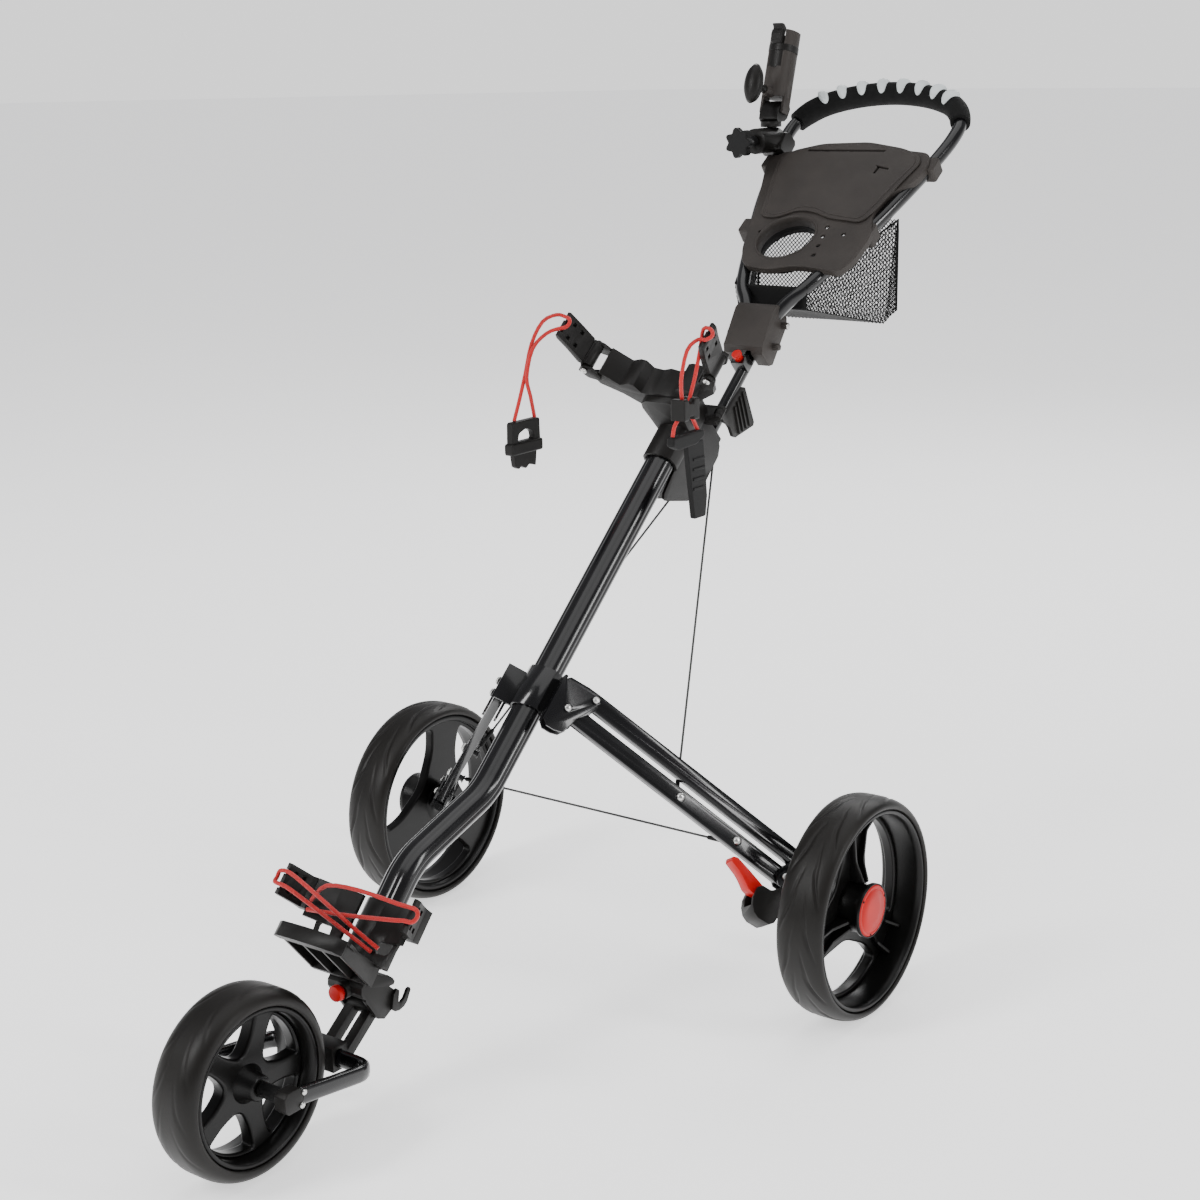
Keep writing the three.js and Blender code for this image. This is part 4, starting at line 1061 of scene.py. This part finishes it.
def hook_left():
    body = BODY_OF["hook_left"]
    across = placing((-130, 0, 0)) @ SIDEWAYS
    top = rounded([(-67, 705), (-66, 736), (-8, 736), (-7, 705)], 4)
    hole = rounded([(-55, 709), (-52, 720), (-37, 725), (-22, 720), (-19, 709)], 4)
    frame_piece = plate("buckle_frame", top, [hole], (-5, 5), across, PLASTIC, body, "plastic", 1)
    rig.replaces(frame_piece, "hook_left")
    bar = rounded([(-70, 692), (-70, 708), (-4, 708), (-4, 692)], 4)
    tongue = rounded(
        [(-60, 676), (-63, 694), (-14, 694), (-17, 672), (-30, 676), (-38, 671), (-48, 676), (-52, 672)], 2
    )
    return [
        frame_piece,
        plate("buckle_bar", bar, [], (-7, 7), across, PLASTIC, body, "plastic", 2),
        plate("buckle_tongue", tongue, [], (-4, 4), across, PLASTIC, body, "plastic", 1),
    ]


def hook_right():
    body = BODY_OF["hook_right"]
    across = placing((95, 0, 0)) @ SIDEWAYS
    lock = rounded(
        [
            (-3, 748), (-3, 776), (7, 776), (9, 770), (19, 770), (21, 776), (32, 776), (32, 748), (20, 748),
            (18, 753), (10, 753), (8, 748),
        ],
        2,
    )
    slider = plate("cord_lock", lock, [], (-11, 11), across, PLASTIC, body, "plastic", 2)
    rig.replaces(slider, "cord_slider")
    across = placing((90, 0, 0)) @ SIDEWAYS
    toggle = rounded([(-14, 717), (-12, 728), (57, 730), (59, 721), (40, 712), (0, 710)], 4)
    bar = plate("toggle", toggle, [], (-6, 6), across, BLACK, body, "rubber", 2.5)
    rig.replaces(bar, "hook_right")
    strap = rounded([(20, 716), (58, 716), (66, 640), (62, 613), (36, 613), (32, 640), (24, 690)], 3)
    tab = [bar, plate("pull_tab", strap, [], (-4, 4), across, BLACK, body, "rubber", 1.4)]
    for i in range(4):
        ridge = rounded(
            [(33, 690 - 13 * i), (60, 690 - 13 * i), (60, 694 - 13 * i), (33, 694 - 13 * i)], 1.5, 3
        )
        tab.append(plate(f"tab_ridge_{i + 1}", ridge, [], (-5.2, 5.2), across, BLACK, body, "rubber", 0.8))
    return [slider], tab


def cables():
    for side in ("right", "left"):
        mirror = 1 if side == "right" else -1
        eye = sided(side, ARM) @ Vector(along_arm(0.52, -9))
        lug = TUBE @ Vector((mirror * 8.2, 493, -86))
        towards = (lug - eye).normalized()
        route = [eye + towards * 6 * MM, lug]
        line = sweep(
            "steel_cable_" + side, route, circle(WIRE_RADIUS, steps=12), CABLE,
            BODY_OF["lift_cable_" + side],
            "cable",
        )
        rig.replaces(line, "lift_cable_" + side)
        crimp = [eye + towards * d * MM for d in (12, 14, 38, 40)]
        sweep(
            "crimp_" + side, crimp, circle(CRIMP_RADIUS, steps=12), BLACK, BODY_OF["lift_cable_" + side],
            "cable",
        )
        eye = sided(side, ARM) @ Vector(along_arm(0.78, -9))
        middle = Vector((0, eye.y, eye.z))
        inward = Vector((-mirror, 0, 0))
        body = BODY_OF["cross_cable_" + side]
        line = sweep(
            "cross_wire_" + side, [eye + inward * 5 * MM, middle], circle(WIRE_RADIUS, steps=12), CABLE,
            body,
            "cable", side=(0, 1, 0),
        )
        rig.replaces(line, "cross_cable_" + side)
        sweep(
            "cross_crimp_" + side, [eye + inward * d * MM for d in (10, 12, 34, 36)],
            circle(CRIMP_RADIUS, steps=12),
            BLACK, body, "cable", side=(0, 1, 0),
        )


UMBRELLA_X = -139
HOLDER = placing((UMBRELLA_X, 604, 1114), (-16.9, "X"))


def umbrella_details():
    """The lobed hand wheel, the wing knob, and the strap and claw that close the umbrella holder."""
    body = BODY_OF["umbrella_hand_wheel"]
    lobes = [
        ((20 + 2.8 * math.cos(7 * a)) * math.cos(a), (20 + 2.8 * math.cos(7 * a)) * math.sin(a))
        for a in (2 * math.pi * i / 84 for i in range(84))
    ]
    spot = placing((UMBRELLA_X, 507, 1068), (90, "X"))
    wheel = plate("lobed_hand_wheel", lobes, [], (-7, 7), spot, BLACK, body, "plastic", 2.5)
    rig.replaces(wheel, "umbrella_hand_wheel")
    onward = Matrix.Rotation(math.radians(90), 4, "Z")
    neck = [(0, -3), (11, -3), (11, 6), (8.5, 9), (8.5, 38), (4, 39), (4, 56), (0, 56)]
    disc_solid(
        "hand_wheel_neck", placing((UMBRELLA_X, 507, 1068)) @ onward, neck, BLACK, body, "plastic", 32
    )
    body = BODY_OF["umbrella_screw"]
    wing = Matrix.Diagonal((1, 0.62, 1.25, 1))
    dome = [(0, -12), (11, -11), (20, -7), (24, -1), (21, 6), (12, 10), (0, 11)]
    knob = disc_solid(
        "wing_knob", HOLDER @ Matrix.Translation((0, -67, 20)) @ onward @ wing, dome, PLASTIC, body,
        "plastic", 48
    )
    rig.replaces(knob, "umbrella_screw")
    stem = [(0, 0), (5, 0), (5, 44), (0, 44)]
    disc_solid(
        "wing_knob_stem", HOLDER @ Matrix.Translation((0, -60, 20)) @ onward, stem, PLASTIC, body,
        "plastic", 24,
    )
    body = BODY_OF["umbrella_holder"]
    plate("holder_strap", circle(22.6), [circle(21.2)], (84, 94), HOLDER, PLASTIC, body, "plastic", 0.6)
    claw = rounded(
        [
            (-20, 92), (-27, 96), (-29, 108), (-24, 116), (-30, 122), (-22, 124), (-13, 118), (-16, 108),
            (-12, 96),
        ],
        3,
    )
    plate("holder_claw", claw, [], (-9, 9), HOLDER @ SIDEWAYS, PLASTIC, body, "plastic", 2)
    cover = [
        (21.4 * math.cos(a), 21.4 * math.sin(a))
        for a in (math.pi * (1.24 + 0.52 * i / 16) for i in range(17))
    ]
    inner = [
        (18.4 * math.cos(a), 18.4 * math.sin(a))
        for a in (math.pi * (1.76 - 0.52 * i / 16) for i in range(17))
    ]
    plate("holder_front", cover + inner, [], (58, 92), HOLDER, PLASTIC, body, "plastic", 0.6)


TOE = math.radians(6.8)
ARM_LENGTH = 352
UPPER_PIVOT = (27.5, 28.5)


def along_arm(share, z, start=(0, 0)):
    reach = ARM_LENGTH * share
    return (start[0] + reach * math.cos(TOE), start[1] - reach * math.sin(TOE), z)


def bolts():
    """Bright bolt and rivet heads on the folding arms and brackets."""
    for side in ("right", "left"):
        arm = sided(side, ARM)
        for i, share in enumerate((0.52, 0.78)):
            spot = arm @ Matrix.Translation(along_arm(share, 7.4))
            bolt_head(f"eye_bolt_{side}_{i + 1}", spot, BODY_OF["lower_bar_" + side], 5.5, 4)
        spots = (
            (0, (0, 0), "mid_bracket"), (0, UPPER_PIVOT, "mid_bracket"),
            (1, (0, 0), "wheel_bracket_" + side), (1, UPPER_PIVOT, "wheel_bracket_" + side),
        )
        for i, (share, start, node) in enumerate(spots):
            spot = arm @ Matrix.Translation(along_arm(share, 11.8, start))
            bolt_head(f"rivet_{side}_{i + 1}", spot, BODY_OF[node], 4.6, 2.6)
    forward = Matrix.Rotation(math.radians(90), 4, "X")
    for side, x in (("right", 99), ("left", -99)):
        spot = TUBE @ Matrix.Translation((x, 467.4, 114)) @ forward
        bolt_head("saddle_pivot_" + side, spot, BODY_OF["upper_bracket"], 4.8, 3)
    turn = Matrix.Rotation(math.radians(90), 4, "Y")
    bolt_head(
        "block_bolt", TUBE @ Matrix.Translation((41.5, 708, -56)) @ turn, BODY_OF["joint_block"], 4.4, 1.0
    )
    for i, (y, z) in enumerate(((-720, 116), (-724, 102))):
        spot = placing((84, y, z)) @ turn
        bolt_head(f"fork_screw_{i + 1}", spot, BODY_OF["fork_block_right"], 3.6, 2.2)


# ------------------------------------------------------------------ stage


def camera():
    azimuth, elevation, roll = (math.radians(a) for a in (36.8, 14.8, -1.2))
    back = Vector(
        (
            math.sin(azimuth) * math.cos(elevation), -math.cos(azimuth) * math.cos(elevation),
            math.sin(elevation),
        )
    )
    right = Vector((math.cos(azimuth), math.sin(azimuth), 0))
    up = back.cross(right)
    right, up = right * math.cos(roll) + up * math.sin(roll), up * math.cos(roll) - right * math.sin(roll)
    data = bpy.data.cameras.new("camera")
    data.sensor_width = 36
    data.lens = 63.96
    data.clip_end = 50
    eye = bpy.data.objects.new("camera", data)
    bpy.context.scene.collection.objects.link(eye)
    place = CART @ Vector((1620.7, -2215.5, 1224.8))
    turned = Matrix((right, up, back)).transposed().to_4x4()
    eye.matrix_world = Matrix.Translation(place) @ turned
    bpy.context.scene.camera = eye


def softbox(name, place, target, size, power):
    data = bpy.data.lights.new(name, "AREA")
    data.shape = "RECTANGLE"
    data.size, data.size_y = size
    data.energy = power
    lamp = bpy.data.objects.new(name, data)
    bpy.context.scene.collection.objects.link(lamp)
    lamp.location = place
    lamp.rotation_euler = (Vector(target) - Vector(place)).to_track_quat("-Z", "Y").to_euler()


def studio_world():
    """White low down, as the backdrop is, and darker overhead, so that glossy parts stay black."""
    world = bpy.data.worlds.new("studio")
    world.use_nodes = True
    tree = world.node_tree
    direction = tree.nodes.new("ShaderNodeTexCoord")
    split = tree.nodes.new("ShaderNodeSeparateXYZ")
    ramp = tree.nodes.new("ShaderNodeValToRGB")
    ramp.color_ramp.elements[0].position = 0.02
    ramp.color_ramp.elements[0].color = (1, 1, 1, 1)
    ramp.color_ramp.elements[1].position = 0.3
    ramp.color_ramp.elements[1].color = (0.2, 0.2, 0.21, 1)
    tree.links.new(direction.outputs["Generated"], split.inputs["Vector"])
    tree.links.new(split.outputs["Z"], ramp.inputs["Fac"])
    tree.links.new(ramp.outputs["Color"], tree.nodes["Background"].inputs["Color"])
    tree.nodes["Background"].inputs["Strength"].default_value = 1.35
    bpy.context.scene.world = world


def stage():
    material, shader = new_material("pale floor", (0.94, 0.94, 0.94), 0.8, specular=0.0)
    shader.inputs["Emission Color"].default_value = (1, 1, 1, 1)
    shader.inputs["Emission Strength"].default_value = 0.95
    mottle(material, shader, (0.94, 0.94, 0.94), 0.01, 3)
    reach = 40.0
    mesh = bpy.data.meshes.new("floor")
    mesh.from_pydata(
        [(-reach, -reach, 0), (reach, -reach, 0), (reach, reach, 0), (-reach, reach, 0)], [], [(0, 1, 2, 3)]
    )
    floor = bpy.data.objects.new("floor", mesh)
    mesh.materials.append(material)
    bpy.context.scene.collection.objects.link(floor)
    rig.stage(floor)
    studio_world()
    softbox("overhead light", (0, 0, 6.0), (0, 0, 0), (6.0, 6.0), 160)
    softbox("key light", (-1.2, -3.2, 3.0), (0, 0, 0.5), (0.9, 1.8), 90)
    softbox("side light", (3.4, 0.4, 2.2), (0, 0, 0.5), (0.5, 2.2), 50)
    softbox("back light", (-0.6, 3.4, 2.8), (0, 0, 0.6), (3.0, 0.8), 60)


# ------------------------------------------------------------------ assembly

main_tube()
handle()
for wheel_side in ("right", "left"):
    rear_wheel(wheel_side)
front_wheel()
console()
net_bag()
lower_bungees()
upper_bungees()
cables()
bolts()
umbrella_details()
WIDTHS = {
    "upper_bracket": 1.2, "lower_bag_rest": 1.0, "mid_bracket": 0.4, "joint_block": 2.5, "handle_stem": 0.6
}
REPLACED = {
    "main_tube", "handle_tube", "grip", "front_tyre", "front_rim", "console_base", "console_lid", "net_bag"
}
REPLACED |= {"hook_left", "hook_right", "cord_slider", "umbrella_hand_wheel", "umbrella_screw"}
MATERIAL_FOR = {"front_axle": BLACK, "joint_block": CONSOLE_PLASTIC, "umbrella_holder": CONSOLE_PLASTIC}
for node_name in sorted(frame["nodes"]):
    own = node_name.startswith(("rear_", "hub_cap", "bungee", "lower_bungee", "lift_cable", "cross_cable"))
    if not own and node_name not in REPLACED:
        refined(node_name, WIDTHS.get(node_name, 1.0), material=MATERIAL_FOR.get(node_name))
camera()
stage()
with open("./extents.json", "w") as file:
    json.dump({"cad": [list(v) for v in CAD_BOX], "visual": [list(v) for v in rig.bounds()]}, file)
